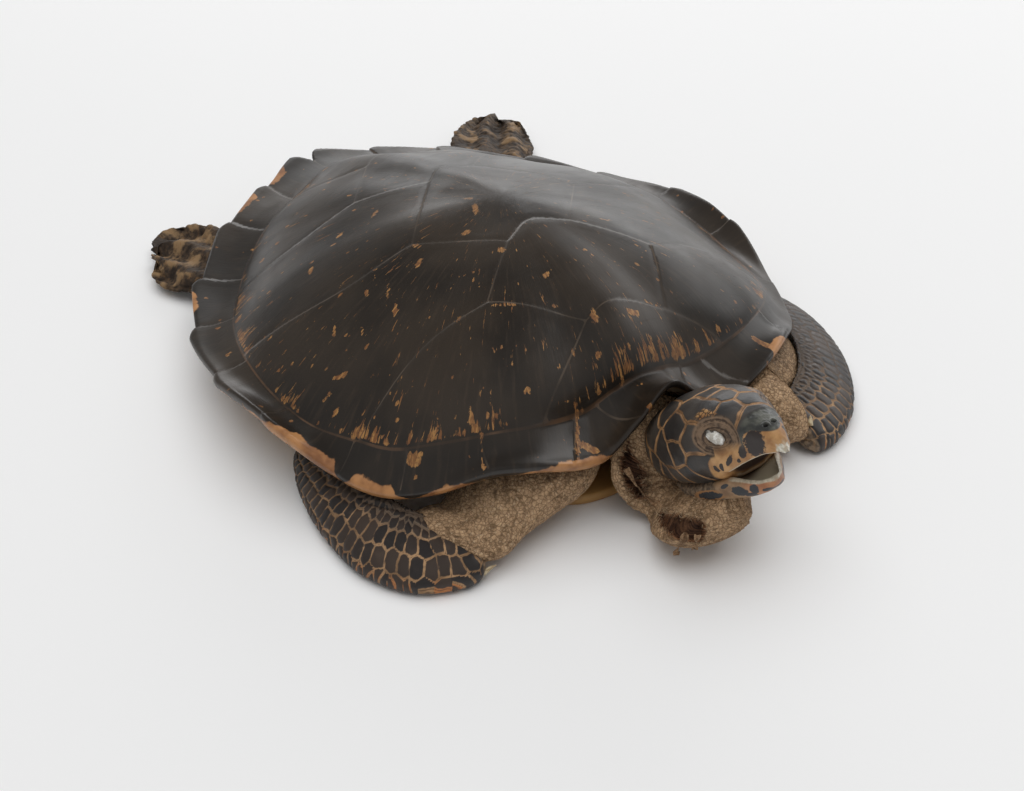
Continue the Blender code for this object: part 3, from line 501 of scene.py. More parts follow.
def marginal_scutes(step):
    """For each scute of the rim, its points on the rim and its other points, in order round it."""
    pairs = list(zip(MARGINAL_SEAMS, MARGINAL_SEAMS[1:]))
    first = MARGINAL_SEAMS[0]
    spans = [((-b[0], -b[1]), (-a[0], -a[1])) for a, b in pairs] + [((-first[0], -first[1]), first)] + pairs
    gap = math.degrees(SEAM_HALF_GAP / MARGINAL_RADIUS)
    made = []
    for (rim_a, crease_a), (rim_b, crease_b) in sorted(spans):
        rim_count = max(3, int(math.radians(rim_b - rim_a) * MARGINAL_RADIUS / step) + 1)
        angles = np.linspace(rim_a + gap, rim_b - gap, rim_count)
        radius = station(angles, RADIUS)
        if rim_a * rim_b >= 0:
            radius = radius + tooth(angles, *sorted((abs(rim_a), abs(rim_b))))
        outer = plan_point(angles, radius)
        crease_count = max(3, int(math.radians(crease_b - crease_a) * MARGINAL_RADIUS / step) + 1)
        angles = np.linspace(crease_b - gap, crease_a + gap, crease_count)
        inner = plan_point(angles, station(angles, RADIUS) - station(angles, BAND) + SEAM_HALF_GAP)
        made.append((outer, np.vstack([line(outer[-1], inner[0], step)[1:-1], inner,
                                       line(inner[-1], outer[0], step)[1:-1]])))
    return made


def share_of_marginal(outer, points):
    """0 at the head end of a marginal scute, 1 at its tail end."""
    ends, angle = np.abs(polar(*outer[[0, -1]].T)[0]), np.abs(polar(*points.T)[0])
    return np.clip((angle - ends.min()) / max(ends.max() - ends.min(), 1), 0, 1)


def share_of_scute(outline, points):
    low, high = outline[:, 1].min(), outline[:, 1].max()
    return (points[:, 1] - low) / (high - low)


def ripple(points, scale, seed, octaves=2):
    """Smooth noise, -1 to 1, at each point: scale is the size of its waves in metres."""
    points, shift = np.asarray(points, float), Vector((seed * 7.31, seed * 3.17, seed * 5.93))
    values = [noise.fractal(Vector(p) / scale + shift, 1.0, 2.0, octaves) for p in points.reshape(-1, 3)]
    return np.array(values).reshape(points.shape[:-1])


def make_piece(name, verts, faces, material, **attributes):
    """A smooth mesh object at the origin, with one float or vector attribute a point for each keyword."""
    made = bpy.data.meshes.new(name)
    made.from_pydata(np.asarray(verts, float).tolist(), [], [list(map(int, f)) for f in faces])
    whole = bmesh.new()
    whole.from_mesh(made)
    bmesh.ops.recalc_face_normals(whole, faces=whole.faces)
    whole.to_mesh(made)
    whole.free()
    made.shade_smooth()
    made.materials.append(material)
    for key, values in attributes.items():
        values = np.asarray(values, float)
        kind, field = ("FLOAT", "value") if values.ndim == 1 else ("FLOAT_VECTOR", "vector")
        made.attributes.new(key, kind, "POINT").data.foreach_set(field, values.ravel())
    piece = bpy.data.objects.new(name, made)
    scene.collection.objects.link(piece)
    return piece


marginals = marginal_scutes(SCUTE_STEP)
scutes = dome_scutes(SCUTE_STEP)
rim = np.vstack([outer for outer, _ in marginals])
chains = [rest for _, rest in marginals]
loose = spread(rim, np.vstack([rim, *scutes, *chains]), SCUTE_STEP)
shares = [share_of_marginal(outer, outer) for outer, _ in marginals]
shares += [share_of_scute(outline, outline) for outline in scutes]
shares += [share_of_marginal(outer, rest) for outer, rest in marginals]
loose_share, loose_scute = np.zeros(len(loose)), np.zeros(len(loose))
for number, outline in enumerate(scutes):
    hit = inside(loose, outline)
    loose_share[hit], loose_scute[hit] = share_of_scute(outline, loose[hit]), number
for number, (outer, rest) in enumerate(marginals):
    hit = inside(loose, np.vstack([outer, rest]))
    loose_share[hit], loose_scute[hit] = share_of_marginal(outer, loose[hit]), number + len(scutes)
scute_number = np.concatenate(
    [np.full(len(outer), n + len(scutes)) for n, (outer, _) in enumerate(marginals)]
    + [np.full(len(outline), n) for n, outline in enumerate(scutes)]
    + [np.full(len(rest), n + len(scutes)) for n, (_, rest) in enumerate(marginals)] + [loose_scute])
scute_share = np.concatenate(shares + [loose_share])

edges, base = [], 0
for outline in [rim, *scutes]:
    edges += ring_edges(len(outline), base)
    base += len(outline)
on_rim = 0
for outer, rest in marginals:
    run = [on_rim + len(outer) - 1, *range(base, base + len(rest)), on_rim]
    edges += list(zip(run, run[1:]))
    on_rim += len(outer)
    base += len(rest)
sheet_points = np.vstack([rim, *scutes, *chains, loose])
plan, faces, place = triangulated(sheet_points, edges, 1e-7)
source = np.array(list(place))
top_ring = [place[i] for i in range(len(rim))]
scute_share, scute_number = scute_share[source], scute_number[source]

seam_points = np.vstack([*scutes, *chains])
seam_gap = distance_to(plan, seam_points)
rim_gap = distance_to(plan, rim)
plan3 = np.column_stack([plan, np.zeros(len(plan))])
dents = sum(ripple(plan3, size, seed) * depth for seed, (size, depth) in enumerate(DENTS, 1))
cushion = CUSHION * np.clip(seam_gap / CUSHION_WIDTH, 0, 1)
on_marginal = scute_number >= len(scutes)
rear_lift = np.where(on_marginal, RIM_LEDGE, LEDGE) * np.clip(scute_share, 0, 1) ** 1.5
height = shell_top(*plan.T) + dents * np.clip(seam_gap / DENT_FADE, 0, 1) + cushion + rear_lift
height -= EDGE_ROUNDING * np.exp(-(rim_gap / ROUNDING_WIDTH) ** 2)
top = np.column_stack([plan, height])

outward = rim - np.array([0.0, SHELL_MIDDLE_Y])
outward /= np.linalg.norm(outward, axis=1)[:, None]
low_edge = rim - outward * EDGE_UNDERCUT
low_points = np.column_stack([low_edge, shell_bottom(*low_edge.T)])
under_plan = np.vstack([low_edge, spread(low_edge, low_edge, UNDER_STEP)])
uv, under_faces, under_place = triangulated(under_plan, ring_edges(len(rim)), 1e-7)
under = np.column_stack([uv, shell_bottom(*uv.T)])
high_points = top[top_ring]
rows = []
for k in range(1, EDGE_ROWS + 1):
    t = k / (EDGE_ROWS + 1)
    row = high_points * (1 - t) + low_points * t
    bulge = EDGE_BULGE * (high_points[:, 2] - low_points[:, 2]) * math.sin(math.pi * t) ** 0.7
    row[:, :2] += outward * bulge[:, None]
    rows.append(row)
verts = np.vstack([top, *rows, under])
edge_rings = [[len(top) + k * len(rim) + i for i in range(len(rim))] for k in range(EDGE_ROWS)]
under_base = len(top) + EDGE_ROWS * len(rim)
faces += stitched([top_ring, *edge_rings, [under_base + under_place[i] for i in range(len(rim))]])
faces += [tuple(under_base + i for i in f[::-1]) for f in under_faces]
extra = len(verts) - len(top)
angle, radius = polar(*verts[:, :2].T)
growth = np.column_stack([radius, np.radians(angle) * GROWTH_RADIUS, np.zeros(len(verts))])
on_edge = np.concatenate([np.zeros(len(top)), np.repeat(np.arange(1, EDGE_ROWS + 1) / EDGE_ROWS, len(rim)),
                          np.full(len(under), 2.0)])
seam_all = np.concatenate([seam_gap, np.full(extra, NO_SEAM)])
rim_all = np.concatenate([rim_gap, np.zeros(extra)])
crease_gap = station(angle, RADIUS) - station(angle, BAND) - radius
below_edge = np.where(on_edge < 1.5, EDGE_DROP * on_edge, NO_SEAM)
climb = np.interp(angle, *RIM_AMBER.T) - (rim_all + EDGE_DROP - below_edge)
fleck_depth = np.full(len(verts), NO_FLECK)
for x, y, half_length, half_width, lean in LARGE_FLECKS:
    here = np.array((x, y)) / 1000
    tangent = np.array((math.cos(math.radians(lean)), math.sin(math.radians(lean))))
    ahead = here + tangent * 0.002
    centre = np.array((*here, shell_top(*here)))
    tangent = np.array((*ahead, shell_top(*ahead))) - centre
    tangent /= np.linalg.norm(tangent)
    offset = verts - centre
    near = np.where((np.abs(offset) < FLECK_REACH).all(1))[0]
    along = offset[near] @ tangent
    across = np.sqrt(np.maximum((offset[near] ** 2).sum(1) - along ** 2, 0))
    reach = np.hypot(along / half_length, across / half_width) * 1000
    fleck_depth[near] = np.maximum(fleck_depth[near], (1 - reach) * half_width / 1000)
for a, b, half_width in JOINT_AMBER:
    start, run = np.array(a) / 1000, (np.array(b) - np.array(a)) / 1000
    t = np.clip(((verts[:, :2] - start) @ run) / (run @ run), 0, 1)
    away = np.linalg.norm(verts[:, :2] - start - t[:, None] * run, axis=1)
    fleck_depth = np.maximum(fleck_depth, half_width / 1000 - away)


def build_horn():
    """Dark brown horn with a cloudy, scratched polish and ragged amber flecks, most of them by the rim."""
    horn = Finish("tortoiseshell", IOR=1.5)
    seam, edge = horn.attribute("seam"), horn.attribute("on_edge")
    crease, large, rim_climb = horn.attribute("crease"), horn.attribute("fleck"), horn.attribute("climb")
    grown = horn.attribute("growth", "Vector")
    cloud = horn.noise(16.0, detail=3.0)
    base = horn.mix(cloud.over(0.36, 0.66), (0.0150, 0.0112, 0.0082), (0.0335, 0.0238, 0.0160))
    streaks = horn.noise(1.0, horn.stretch(grown, (50, 260, 1)), detail=3.0, distortion=0.3)
    base = horn.mix(streaks.over(0.50, 0.76) * 0.40, base, (0.058, 0.039, 0.025))
    ragged = horn.noise(430.0, detail=3.0, roughness=0.6)
    torn = horn.noise(150.0, detail=2.0)
    frayed = horn.noise(1.0, horn.stretch(grown, (170, 420, 1)), detail=3.0, roughness=0.65, distortion=0.6)
    unrest = (ragged - 0.5) * 0.0022 + (torn - 0.5) * 0.0040 + (frayed - 0.5) * 0.0035
    big = (large + unrest).over(0.00010, 0.00038)
    stretched = horn.stretch(grown, (150, 215, 1))
    chance = horn.add("ShaderNodeSeparateColor", None, {0: horn.cells(1.0, stretched, out=1)})
    from_crease = crease.over(0.026, 0.004) * crease.over(-0.0015, 0.001)
    often = chance * chance * chance * chance
    patch = horn.noise(20.0, detail=1.0)
    size = often * 0.34 + from_crease * (0.20 * chance) + (patch - 0.5) * 0.26 - 0.075
    wild = (ragged - 0.5) * 0.65 + (torn - 0.5) * 0.60 + (frayed - 0.5) * 0.10
    small = (size - horn.cells(1.0, stretched) + wild).over(0.0, 0.06)
    beard = horn.noise(1.0, horn.stretch(grown, (75, 330, 1)), detail=4.0, roughness=0.65, distortion=0.9)
    dense = ((0.035 + crease.over(0.014, 0.001) * 0.13) * patch.over(0.32, 0.60)
             + crease.over(0.006, 0.001) * 0.05)
    fringe = (beard + dense - crease.over(0.002, -0.001) * 0.5).over(0.672, 0.700)
    fleck = big.at_least(small).at_least(fringe) * edge.over(1.5, 0.9)
    amber = horn.mix(frayed.over(0.42, 0.66), (0.190, 0.078, 0.026), (0.400, 0.205, 0.064))
    amber = horn.mix(ragged.over(0.50, 0.68) * 0.7, amber, (0.110, 0.046, 0.020))
    colour = horn.mix(fleck, base, amber)
    rim_wave = horn.noise(60.0, detail=3.0, roughness=0.6)
    ragged_climb = rim_climb + (rim_wave - 0.5) * 0.0110 + unrest * 0.6
    rim_amber = ragged_climb.over(-0.0006, 0.0008) * edge.over(1.6, 1.1)
    lit = horn.mix(rim_wave.over(0.35, 0.62), (0.230, 0.095, 0.036), (0.470, 0.225, 0.085))
    colour = horn.mix(rim_amber, colour, lit)
    along_crease = crease.over(0.0016, 0.0003) * crease.over(-0.0016, -0.0003)
    pale = seam.over(0.00040, 0.00012) * (0.15 + 0.7 * horn.noise(38.0, detail=2.0).over(0.42, 0.62))
    colour = horn.mix(pale, colour, horn.mix(along_crease, (0.095, 0.068, 0.047), (0.110, 0.060, 0.032)))
    bone = edge.over(1.5, 1.8)
    colour = horn.mix(bone, colour, (0.21, 0.15, 0.09))
    smear = horn.noise(9.0, detail=5.0, roughness=0.62, distortion=0.8)
    scratch = horn.noise(1.0, horn.stretch(horn.place, (40, 900, 200), (0.3, 0.2, 0.9)), detail=2.0)
    rough = (0.285 + smear.over(0.38, 0.66) * 0.15 + scratch.over(0.60, 0.75) * 0.12
             + fleck * 0.06 + bone * 0.3)
    grain = horn.noise(1.0, horn.stretch(grown, (130, 700, 1)), detail=2.0)
    fine = horn.noise(900.0, detail=2.0)
    relief = horn.bump(grain * 0.5 + fine * 0.2 + smear * 1.2, 0.00022, 0.45)
    return horn.shade(Base_Color=colour, Roughness=rough, Normal=relief)


horn = build_horn()
carapace = make_piece("carapace_shell", verts, faces, horn, seam=seam_all, on_edge=on_edge, crease=crease_gap,
                      growth=growth, fleck=fleck_depth, climb=climb)
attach(carapace, "root")
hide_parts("carapace")

# ---- Plastron ----------------------------------------------------------------------------------------
# The lower shell: yellow-brown horn plates over bone, flat on the table, with a bridge that climbs to the
# carapace on each side. Only its edge shows between the shoulder and the neck.
PLASTRON_EDGE = ((0.000, -0.185), (0.030, -0.184), (0.050, -0.177), (0.064, -0.160), (0.074, -0.136),
                 (0.094, -0.112), (0.124, -0.094), (0.147, -0.072), (0.153, -0.020), (0.151, 0.025),
                 (0.140, 0.052), (0.112, 0.068), (0.092, 0.086), (0.075, 0.112), (0.050, 0.137),
                 (0.024, 0.149), (0.000, 0.145))
PLASTRON_THICKNESS = 0.0065
PLASTRON_STEP = 0.0030
PLASTRON_ROUND = 0.0022
BRIDGE_START, BRIDGE_END, BRIDGE_RISE = 0.084, 0.150, 0.046
PLASTRON_GAP = 0.0014
# depth and width of the grooves along the seams, and the distance that stands for no groove
GROOVE_DEPTH, GROOVE_WIDTH, NO_GROOVE = 0.0005, 0.0012, 0.01
# seams across the plastron and along each bridge: places on the right half, mirrored
PLASTRON_SEAMS = (((0.000, -0.150), (0.062, -0.158)), ((0.000, -0.095), (0.092, -0.112)),
                  ((0.000, -0.030), (0.128, -0.045)), ((0.000, 0.045), (0.140, 0.030)),
                  ((0.000, 0.100), (0.090, 0.088)), ((0.086, -0.112), (0.096, 0.082)),
                  ((0.118, -0.094), (0.124, 0.060)), ((0.000, -0.185), (0.000, 0.145)))


def plastron_top(x, y):
    """Flat in the middle; its bridges climb to the underside of the carapace's edge."""
    climb = np.clip((np.abs(x) - BRIDGE_START) / (BRIDGE_END - BRIDGE_START), 0, 1)
    top = PLASTRON_THICKNESS + BRIDGE_RISE * climb ** 1.6
    return np.minimum(top, shell_bottom(x, y) - PLASTRON_GAP)


half = curve(PLASTRON_EDGE, PLASTRON_STEP)
plastron_outline = joined(np.vstack([half, (half * (-1, 1))[::-1][1:]]))
inner_outline = inset(plastron_outline, PLASTRON_ROUND)
seam_lines = np.vstack([line(a, b, 0.0010) * (side, 1) for a, b in PLASTRON_SEAMS for side in (1, -1)])
fill = spread(inner_outline, inner_outline, PLASTRON_STEP)
near_lines = distance_to(fill, seam_lines)
on_lines = seam_lines[inside(seam_lines, inset(inner_outline, 0.0015))][::2]
fill = np.vstack([fill[near_lines > 0.002], on_lines])
m = len(inner_outline)
uv, faces, place = triangulated(np.vstack([inner_outline, fill]), ring_edges(m), 1e-6)
groove = distance_to(uv, seam_lines)
carved = GROOVE_DEPTH * np.exp(-(groove / GROOVE_WIDTH) ** 2)
high = plastron_top(*uv.T) - carved
low = plastron_top(*uv.T) - PLASTRON_THICKNESS + carved
rows = []
for k in range(1, EDGE_ROWS + 1):
    t = math.pi * k / (EDGE_ROWS + 1)
    ring = inner_outline + (plastron_outline - inner_outline) * math.sin(t)
    top_z, low_z = (plastron_top(*inner_outline.T) - d for d in (0.0, PLASTRON_THICKNESS))
    rows.append(np.column_stack([ring, (top_z + low_z) / 2 + (top_z - low_z) / 2 * math.cos(t)]))
verts = np.vstack([np.column_stack([uv, high]), *rows, np.column_stack([uv, low])])
below = len(uv) + EDGE_ROWS * m
edge_rings = [[len(uv) + k * m + i for i in range(m)] for k in range(EDGE_ROWS)]
faces += [tuple(below + i for i in f[::-1]) for f in faces]
faces += stitched([[place[i] for i in range(m)], *edge_rings, [below + place[i] for i in range(m)]])
yellow = Finish("plastron_yellow_horn", IOR=1.5)
groove_line = yellow.attribute("groove")
cloud = yellow.noise(26.0, detail=3.0)
tint = yellow.mix(cloud.over(0.35, 0.70), (0.50, 0.29, 0.10), (0.33, 0.165, 0.055))
tint = yellow.mix(yellow.noise(9.0, detail=4.0).over(0.56, 0.66) * 0.75, tint, (0.085, 0.045, 0.022))
tint = yellow.mix(groove_line.over(0.0014, 0.0004) * 0.7, tint, (0.10, 0.055, 0.03))
scratches = yellow.noise(1.0, yellow.stretch(yellow.place, (60, 600, 60)), detail=2.0)
yellow.shade(Base_Color=tint, Roughness=0.36 + cloud * 0.16,
             Normal=yellow.bump(scratches + cloud * 0.5, 0.0002, 0.4))
plastron = make_piece("plastron_plates", verts, faces, yellow.material,
                      groove=np.concatenate([groove, np.full(EDGE_ROWS * m, NO_GROOVE), groove]))
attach(plastron, "root")
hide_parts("plastron")

# ---- Dried skin --------------------------------------------------------------------------------------
# Neck, shoulders and tail: thin grey-tan skin, dried hard over its filling, with fine fibrous wrinkles. It
# disappears under the shell's edge and rests on the plastron.
SKIN_STEP = 0.0011
SHOULDER_SIDES, TAIL_SIDES = 150, 64
# wrinkles are this much longer along a body than round it
WRINKLE_STRETCH = 1.5
BELOW_SHELL, ABOVE_PLASTRON, ABOVE_TABLE = 0.0028, 0.0009, 0.0008
RIGHT_SHOULDER_SECTIONS = (
    (0.0290, -0.150, 0.030, 0.030, 0.022, 0.022), (0.050, -0.156, 0.030, 0.037, 0.022, 0.0225),
    (0.075, -0.158, 0.027, 0.038, 0.022, 0.0235), (0.095, -0.161, 0.021, 0.036, 0.020, 0.0200),
    (0.110, -0.170, 0.016, 0.030, 0.015, 0.0150), (0.1195, -0.1715, 0.014, 0.026, 0.011, 0.0125))
# skin that spreads from each shoulder over the root of its flipper
RIGHT_WEB = (
    (0.1280, -0.1685, 0.0150, 0.0245, 0.0105, 0.012), (0.1350, -0.1630, 0.0150, 0.0200, 0.0095, 0.011),
    (0.1420, -0.1560, 0.0140, 0.0130, 0.0070, 0.008), (0.1450, -0.1530, 0.0130, 0.0040, 0.0030, 0.003))
LEFT_WEB = (
    (0.1020, -0.1640, 0.0200, 0.0220, 0.017, 0.0190), (0.1160, -0.1580, 0.0180, 0.0240, 0.014, 0.0170),
    (0.1280, -0.1490, 0.0165, 0.0240, 0.012, 0.0150), (0.1400, -0.1380, 0.0150, 0.0200, 0.009, 0.0120),
    (0.1470, -0.1320, 0.0140, 0.0080, 0.005, 0.0060))
LEFT_SHOULDER_SECTIONS = (
    (0.0290, -0.150, 0.030, 0.030, 0.022, 0.022), (0.045, -0.158, 0.030, 0.036, 0.022, 0.0225),
    (0.060, -0.172, 0.029, 0.042, 0.024, 0.0250), (0.073, -0.184, 0.026, 0.041, 0.024, 0.0245),
    (0.0835, -0.190, 0.0235, 0.037, 0.024, 0.0225), (0.0858, -0.188, 0.0235, 0.034, 0.024, 0.0225),
    (0.0882, -0.1645, 0.0240, 0.0180, 0.023, 0.0220), (0.1020, -0.1615, 0.0220, 0.0165, 0.019, 0.0200),
    (0.1140, -0.156, 0.0200, 0.0150, 0.015, 0.0170), (0.1220, -0.150, 0.0180, 0.0090, 0.010, 0.0120))
TAIL_SECTIONS = (
    (0.135, 0.000, 0.022, 0.015, 0.010, 0.012), (0.160, 0.000, 0.018, 0.011, 0.008, 0.009),
    (0.182, 0.001, 0.013, 0.006, 0.005, 0.005), (0.190, 0.001, 0.012, 0.002, 0.002, 0.002))


def travelled(points):
    """Distance along a run of points to each of them."""
    return np.concatenate([[0], np.cumsum(np.linalg.norm(np.diff(points, axis=0), axis=1))])


def on_grid(*fields):
    """Fields that vary along a body, round it or not at all, as one vector field."""
    return np.stack(np.broadcast_arrays(*fields), -1)


def even_sections(sections, step):
    """The sections of a body, resampled so that its surface is divided evenly along it."""
    fine = spline(sections, 500)
    travel = travelled(fine)
    count = int(travel[-1] / step) + 1
    return np.stack([np.interp(np.linspace(0, travel[-1], count), travel, column) for column in fine.T], 1)


def section_rings(sections, step, sides, squareness=1.0, low_squareness=None):
    """Rings of points (along, sideways, up) through sections, with the turn round each ring."""
    turn = np.linspace(0, 2 * math.pi, sides, endpoint=False)
    c, s = np.cos(turn), np.sin(turn)
    rings = []
    for along, middle, height, half_width, rise, drop in even_sections(sections, step):
        power = squareness if low_squareness is None else np.where(s > 0, squareness, low_squareness(along))
        rings.append(np.column_stack([
            np.full(sides, along), middle + half_width * np.sign(c) * np.abs(c) ** power,
            height + np.where(s > 0, rise, drop) * np.sign(s) * np.abs(s) ** power]))
    return np.array(rings), turn


def tube_faces(count, sides):
    """Faces of a closed body through equal rings, whose two poles follow the rings."""
    faces = []
    for i in range(count - 1):
        for k in range(sides):
            a, b = i * sides + k, i * sides + (k + 1) % sides
            faces.append((a, b, b + sides, a + sides))
    first, last, base = count * sides, count * sides + 1, (count - 1) * sides
    faces += [((k + 1) % sides, k, first) for k in range(sides)]
    return faces + [(base + k, base + (k + 1) % sides, last) for k in range(sides)]


def with_poles(rings):
    """Flat list of ring values, followed by the mean of the first and of the last ring."""
    rings = np.asarray(rings, float)
    flat = rings.reshape(-1, *rings.shape[2:])
    return np.concatenate([flat, rings[0].mean(0)[None], rings[-1].mean(0)[None]])


def ring_piece(name, rings, material, **attributes):
    """A closed body through rings of points, with a value or a vector a point for each attribute."""
    shape = rings.shape[:2]
    values = {key: with_poles(value if np.ndim(value) > 2 else np.broadcast_to(value, shape))
              for key, value in attributes.items()}
    return make_piece(name, with_poles(rings), tube_faces(*shape), material, **values)


def ring_normals(points):
    """Outward normals of a grid of rings."""
    along = np.gradient(points, axis=0)
    around = np.roll(points, -1, 1) - np.roll(points, 1, 1)
    normal = np.cross(around, along)
    normal /= np.maximum(np.linalg.norm(normal, axis=2), 1e-12)[..., None]
    out = points - points.mean(1)[:, None]
    flip = np.sign((normal * out).sum(2).mean())
    return normal * flip


def tucked(points):
    """Skin points kept below the carapace and above the plastron."""
    flat = points.reshape(-1, 3).copy()
    x, y = flat[:, 0], flat[:, 1]
    angle, radius = polar(x, y)
    over = radius - station(angle, RADIUS)
    shrink = np.minimum(1, station(angle, RADIUS) / np.maximum(radius, 1e-6))
    ceiling = shell_bottom(x * shrink, SHELL_MIDDLE_Y + (y - SHELL_MIDDLE_Y) * shrink) - BELOW_SHELL
    flat[:, 2] = np.minimum(flat[:, 2], ceiling + np.maximum(over - 0.0005, 0) * 2.5)
    on_plastron = inside(flat[:, :2], plastron_outline)
    flat[on_plastron, 2] = np.maximum(flat[on_plastron, 2], plastron_top(x, y)[on_plastron] + ABOVE_PLASTRON)
    flat[:, 2] = np.maximum(flat[:, 2], ABOVE_TABLE)
    return flat.reshape(points.shape)


def build_leather():
    """Matt grey-tan skin with fibrous strands, painted shade in its folds and deep in its tears, red-brown
    where torn.
    """
    leather = Finish("dried_leather_skin", IOR=1.45, Specular_IOR_Level=0.25)
    strand_place = leather.attribute("strand", "Vector")
    fold, torn = leather.attribute("fold"), leather.attribute("torn")
    strands = leather.noise(1.0, leather.stretch(strand_place, (120, 300, 1)), detail=3.0, distortion=0.5)
    pebbles = leather.noise(260.0, detail=4.0, roughness=0.70, distortion=0.7)
    coarse = strands * 0.35 + pebbles * 0.65
    fine = leather.noise(620.0, detail=3.0, distortion=0.4)
    patch = leather.noise(45.0, detail=4.0, roughness=0.6)
    tone = leather.mix(coarse.over(0.38, 0.62), (0.190, 0.116, 0.062), (0.520, 0.340, 0.195))
    tone = leather.mix(patch.over(0.42, 0.70) * 0.45, tone, (0.580, 0.385, 0.225))
    tone = leather.mix(fine.over(0.54, 0.70) * 0.50, tone, (0.700, 0.520, 0.340))
    # painted shade in the valleys of the mesh's wrinkles
    tone = leather.mix(fold.over(0.1, -0.8) * 0.60, tone, (0.060, 0.037, 0.021))
    crinkle = leather.cells(430.0, feature="DISTANCE_TO_EDGE")
    tone = leather.mix(crinkle.over(0.12, 0.02) * 0.60, tone, (0.100, 0.058, 0.031))
    fibres = leather.noise(1.0, leather.stretch(strand_place, (160, 900, 1)), detail=4.0, distortion=1.2)
    raw = leather.mix(fibres.over(0.36, 0.64), (0.040, 0.015, 0.008), (0.250, 0.120, 0.058))
    # painted shade deep inside the tears, where they are pushed in furthest
    raw = leather.mix(leather.attribute("depth").over(0.35, 0.9) * 0.6, raw, (0.020, 0.009, 0.006))
    tone = leather.mix(torn, tone, raw)
    bumps = coarse * 0.7 + fine * 0.5 + crinkle.at_most(0.3) * 1.6 + fibres * torn * 0.5
    relief = leather.bump(bumps, 0.0008, 0.85)
    return leather.shade(Base_Color=tone, Roughness=0.60 + patch * 0.25 - torn * 0.15, Normal=relief)


leather = build_leather()


def skin_piece(name, points, turn, wrinkle_size, wrinkle_depth, seed, node, torn=0.0, deep=0.0, shift=0.0):
    """A skin body from its rings: wrinkled, tucked under the shell and closed."""
    normals = ring_normals(points)
    along = travelled(points.mean(1))[:, None]
    girth = np.linalg.norm(points - points.mean(1)[:, None], axis=2).mean()
    looped = on_grid(along, np.cos(turn) * girth, np.sin(turn) * girth)
    ridge = 1 - 2 * np.abs(ripple(looped / (WRINKLE_STRETCH, 1.0, 1.0), wrinkle_size, seed))
    broad = ripple(looped, wrinkle_size * 5, seed + 1)
    lift = wrinkle_depth * (ridge - 0.5) + wrinkle_depth * 1.8 * broad
    points = points + normals * (lift - wrinkle_depth * 1.2)[..., None]
    points = tucked(points + shift)
    piece = ring_piece(name, points, leather, strand=on_grid(along, turn * girth, 0.0), fold=ridge,
                       torn=torn, depth=deep)
    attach(piece, "root")
    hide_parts(node)
    return piece


for name, sections, side, seed in (("right_shoulder", RIGHT_SHOULDER_SECTIONS + RIGHT_WEB, -1, 11),
                                   ("left_shoulder", LEFT_SHOULDER_SECTIONS[:7] + LEFT_WEB, 1, 12)):
    rings, turn = section_rings(sections, SKIN_STEP, SHOULDER_SIDES)
    world_rings = np.stack([rings[..., 0] * side, rings[..., 1], rings[..., 2]], 2)
    skin_piece(name + "_skin", world_rings, turn, 0.0042, 0.00055, seed, name)
rings, turn = section_rings(TAIL_SECTIONS, SKIN_STEP, TAIL_SIDES)
skin_piece("tail_skin", rings[..., [1, 0, 2]], turn, 0.0035, 0.0004, 14, "tail")

# ---- Flippers ----------------------------------------------------------------------------------------
# Stiff blades in horny scales: long dark scales along the thick leading edge and small ones towards the
# inner edge, each with a tan border. Each front flipper has one pale claw.
BLADE_STEP, FAN_STEP = 0.00085, 0.00085 * 1.1
BLADE_SIDES, FAN_SIDES = 124, 110
RIGHT_FRONT_FLIPPER = (
    ((-0.1203, -0.198, 0.004), (-0.139, -0.199, 0.003), (-0.163, -0.187, 0.003), (-0.178, -0.160, 0.003),
     (-0.180, -0.130, 0.003), (-0.176, -0.100, 0.003), (-0.168, -0.073, 0.004), (-0.157, -0.050, 0.008)),
    ((-0.1203, -0.161, 0.020), (-0.129, -0.160, 0.021), (-0.137, -0.151, 0.023), (-0.143, -0.139, 0.025),
     (-0.147, -0.121, 0.026), (-0.149, -0.100, 0.025), (-0.150, -0.077, 0.021), (-0.151, -0.054, 0.012)),
    (0.020, 0.019, 0.017, 0.015, 0.013, 0.012, 0.010, 0.005))
LEFT_FRONT_FLIPPER = (
    ((0.0886, -0.2275, 0.004), (0.110, -0.2265, 0.003), (0.136, -0.2125, 0.003), (0.159, -0.187, 0.003),
     (0.175, -0.157, 0.003), (0.182, -0.124, 0.003), (0.176, -0.088, 0.004), (0.163, -0.056, 0.008)),
    ((0.0886, -0.188, 0.020), (0.104, -0.188, 0.021), (0.121, -0.178, 0.023), (0.136, -0.160, 0.025),
     (0.146, -0.137, 0.026), (0.152, -0.111, 0.025), (0.155, -0.085, 0.021), (0.157, -0.060, 0.012)),
    (0.020, 0.019, 0.017, 0.015, 0.013, 0.012, 0.010, 0.005))
RIGHT_HIND_FLIPPER = (
    ((-0.095, 0.095, 0.017), (-0.112, 0.113, 0.014), (-0.126, 0.132, 0.010), (-0.137, 0.152, 0.007),
     (-0.144, 0.172, 0.006)),
    ((-0.060, 0.112, 0.021), (-0.067, 0.145, 0.019), (-0.077, 0.174, 0.015), (-0.092, 0.197, 0.011),
     (-0.109, 0.209, 0.008)),
    (0.017, 0.013, 0.010, 0.008, 0.005))
LEFT_HIND_FLIPPER = (
    ((0.098, 0.093, 0.017), (0.122, 0.111, 0.014), (0.148, 0.132, 0.010), (0.172, 0.158, 0.007),
     (0.186, 0.191, 0.006)),
    ((0.062, 0.110, 0.021), (0.084, 0.143, 0.019), (0.109, 0.172, 0.015), (0.136, 0.197, 0.011),
     (0.164, 0.214, 0.007)),
    (0.017, 0.013, 0.010, 0.008, 0.005))
# rows of scales of a front flipper: place across it (-1 leading edge, 1 inner edge), pitch along it
SCALE_ROWS = ((-1.0, 0.0064), (-0.54, 0.0060), (0.12, 0.0064), (0.50, 0.0052), (0.73, 0.0044),
              (0.90, 0.0040), (1.0, 0.0040))
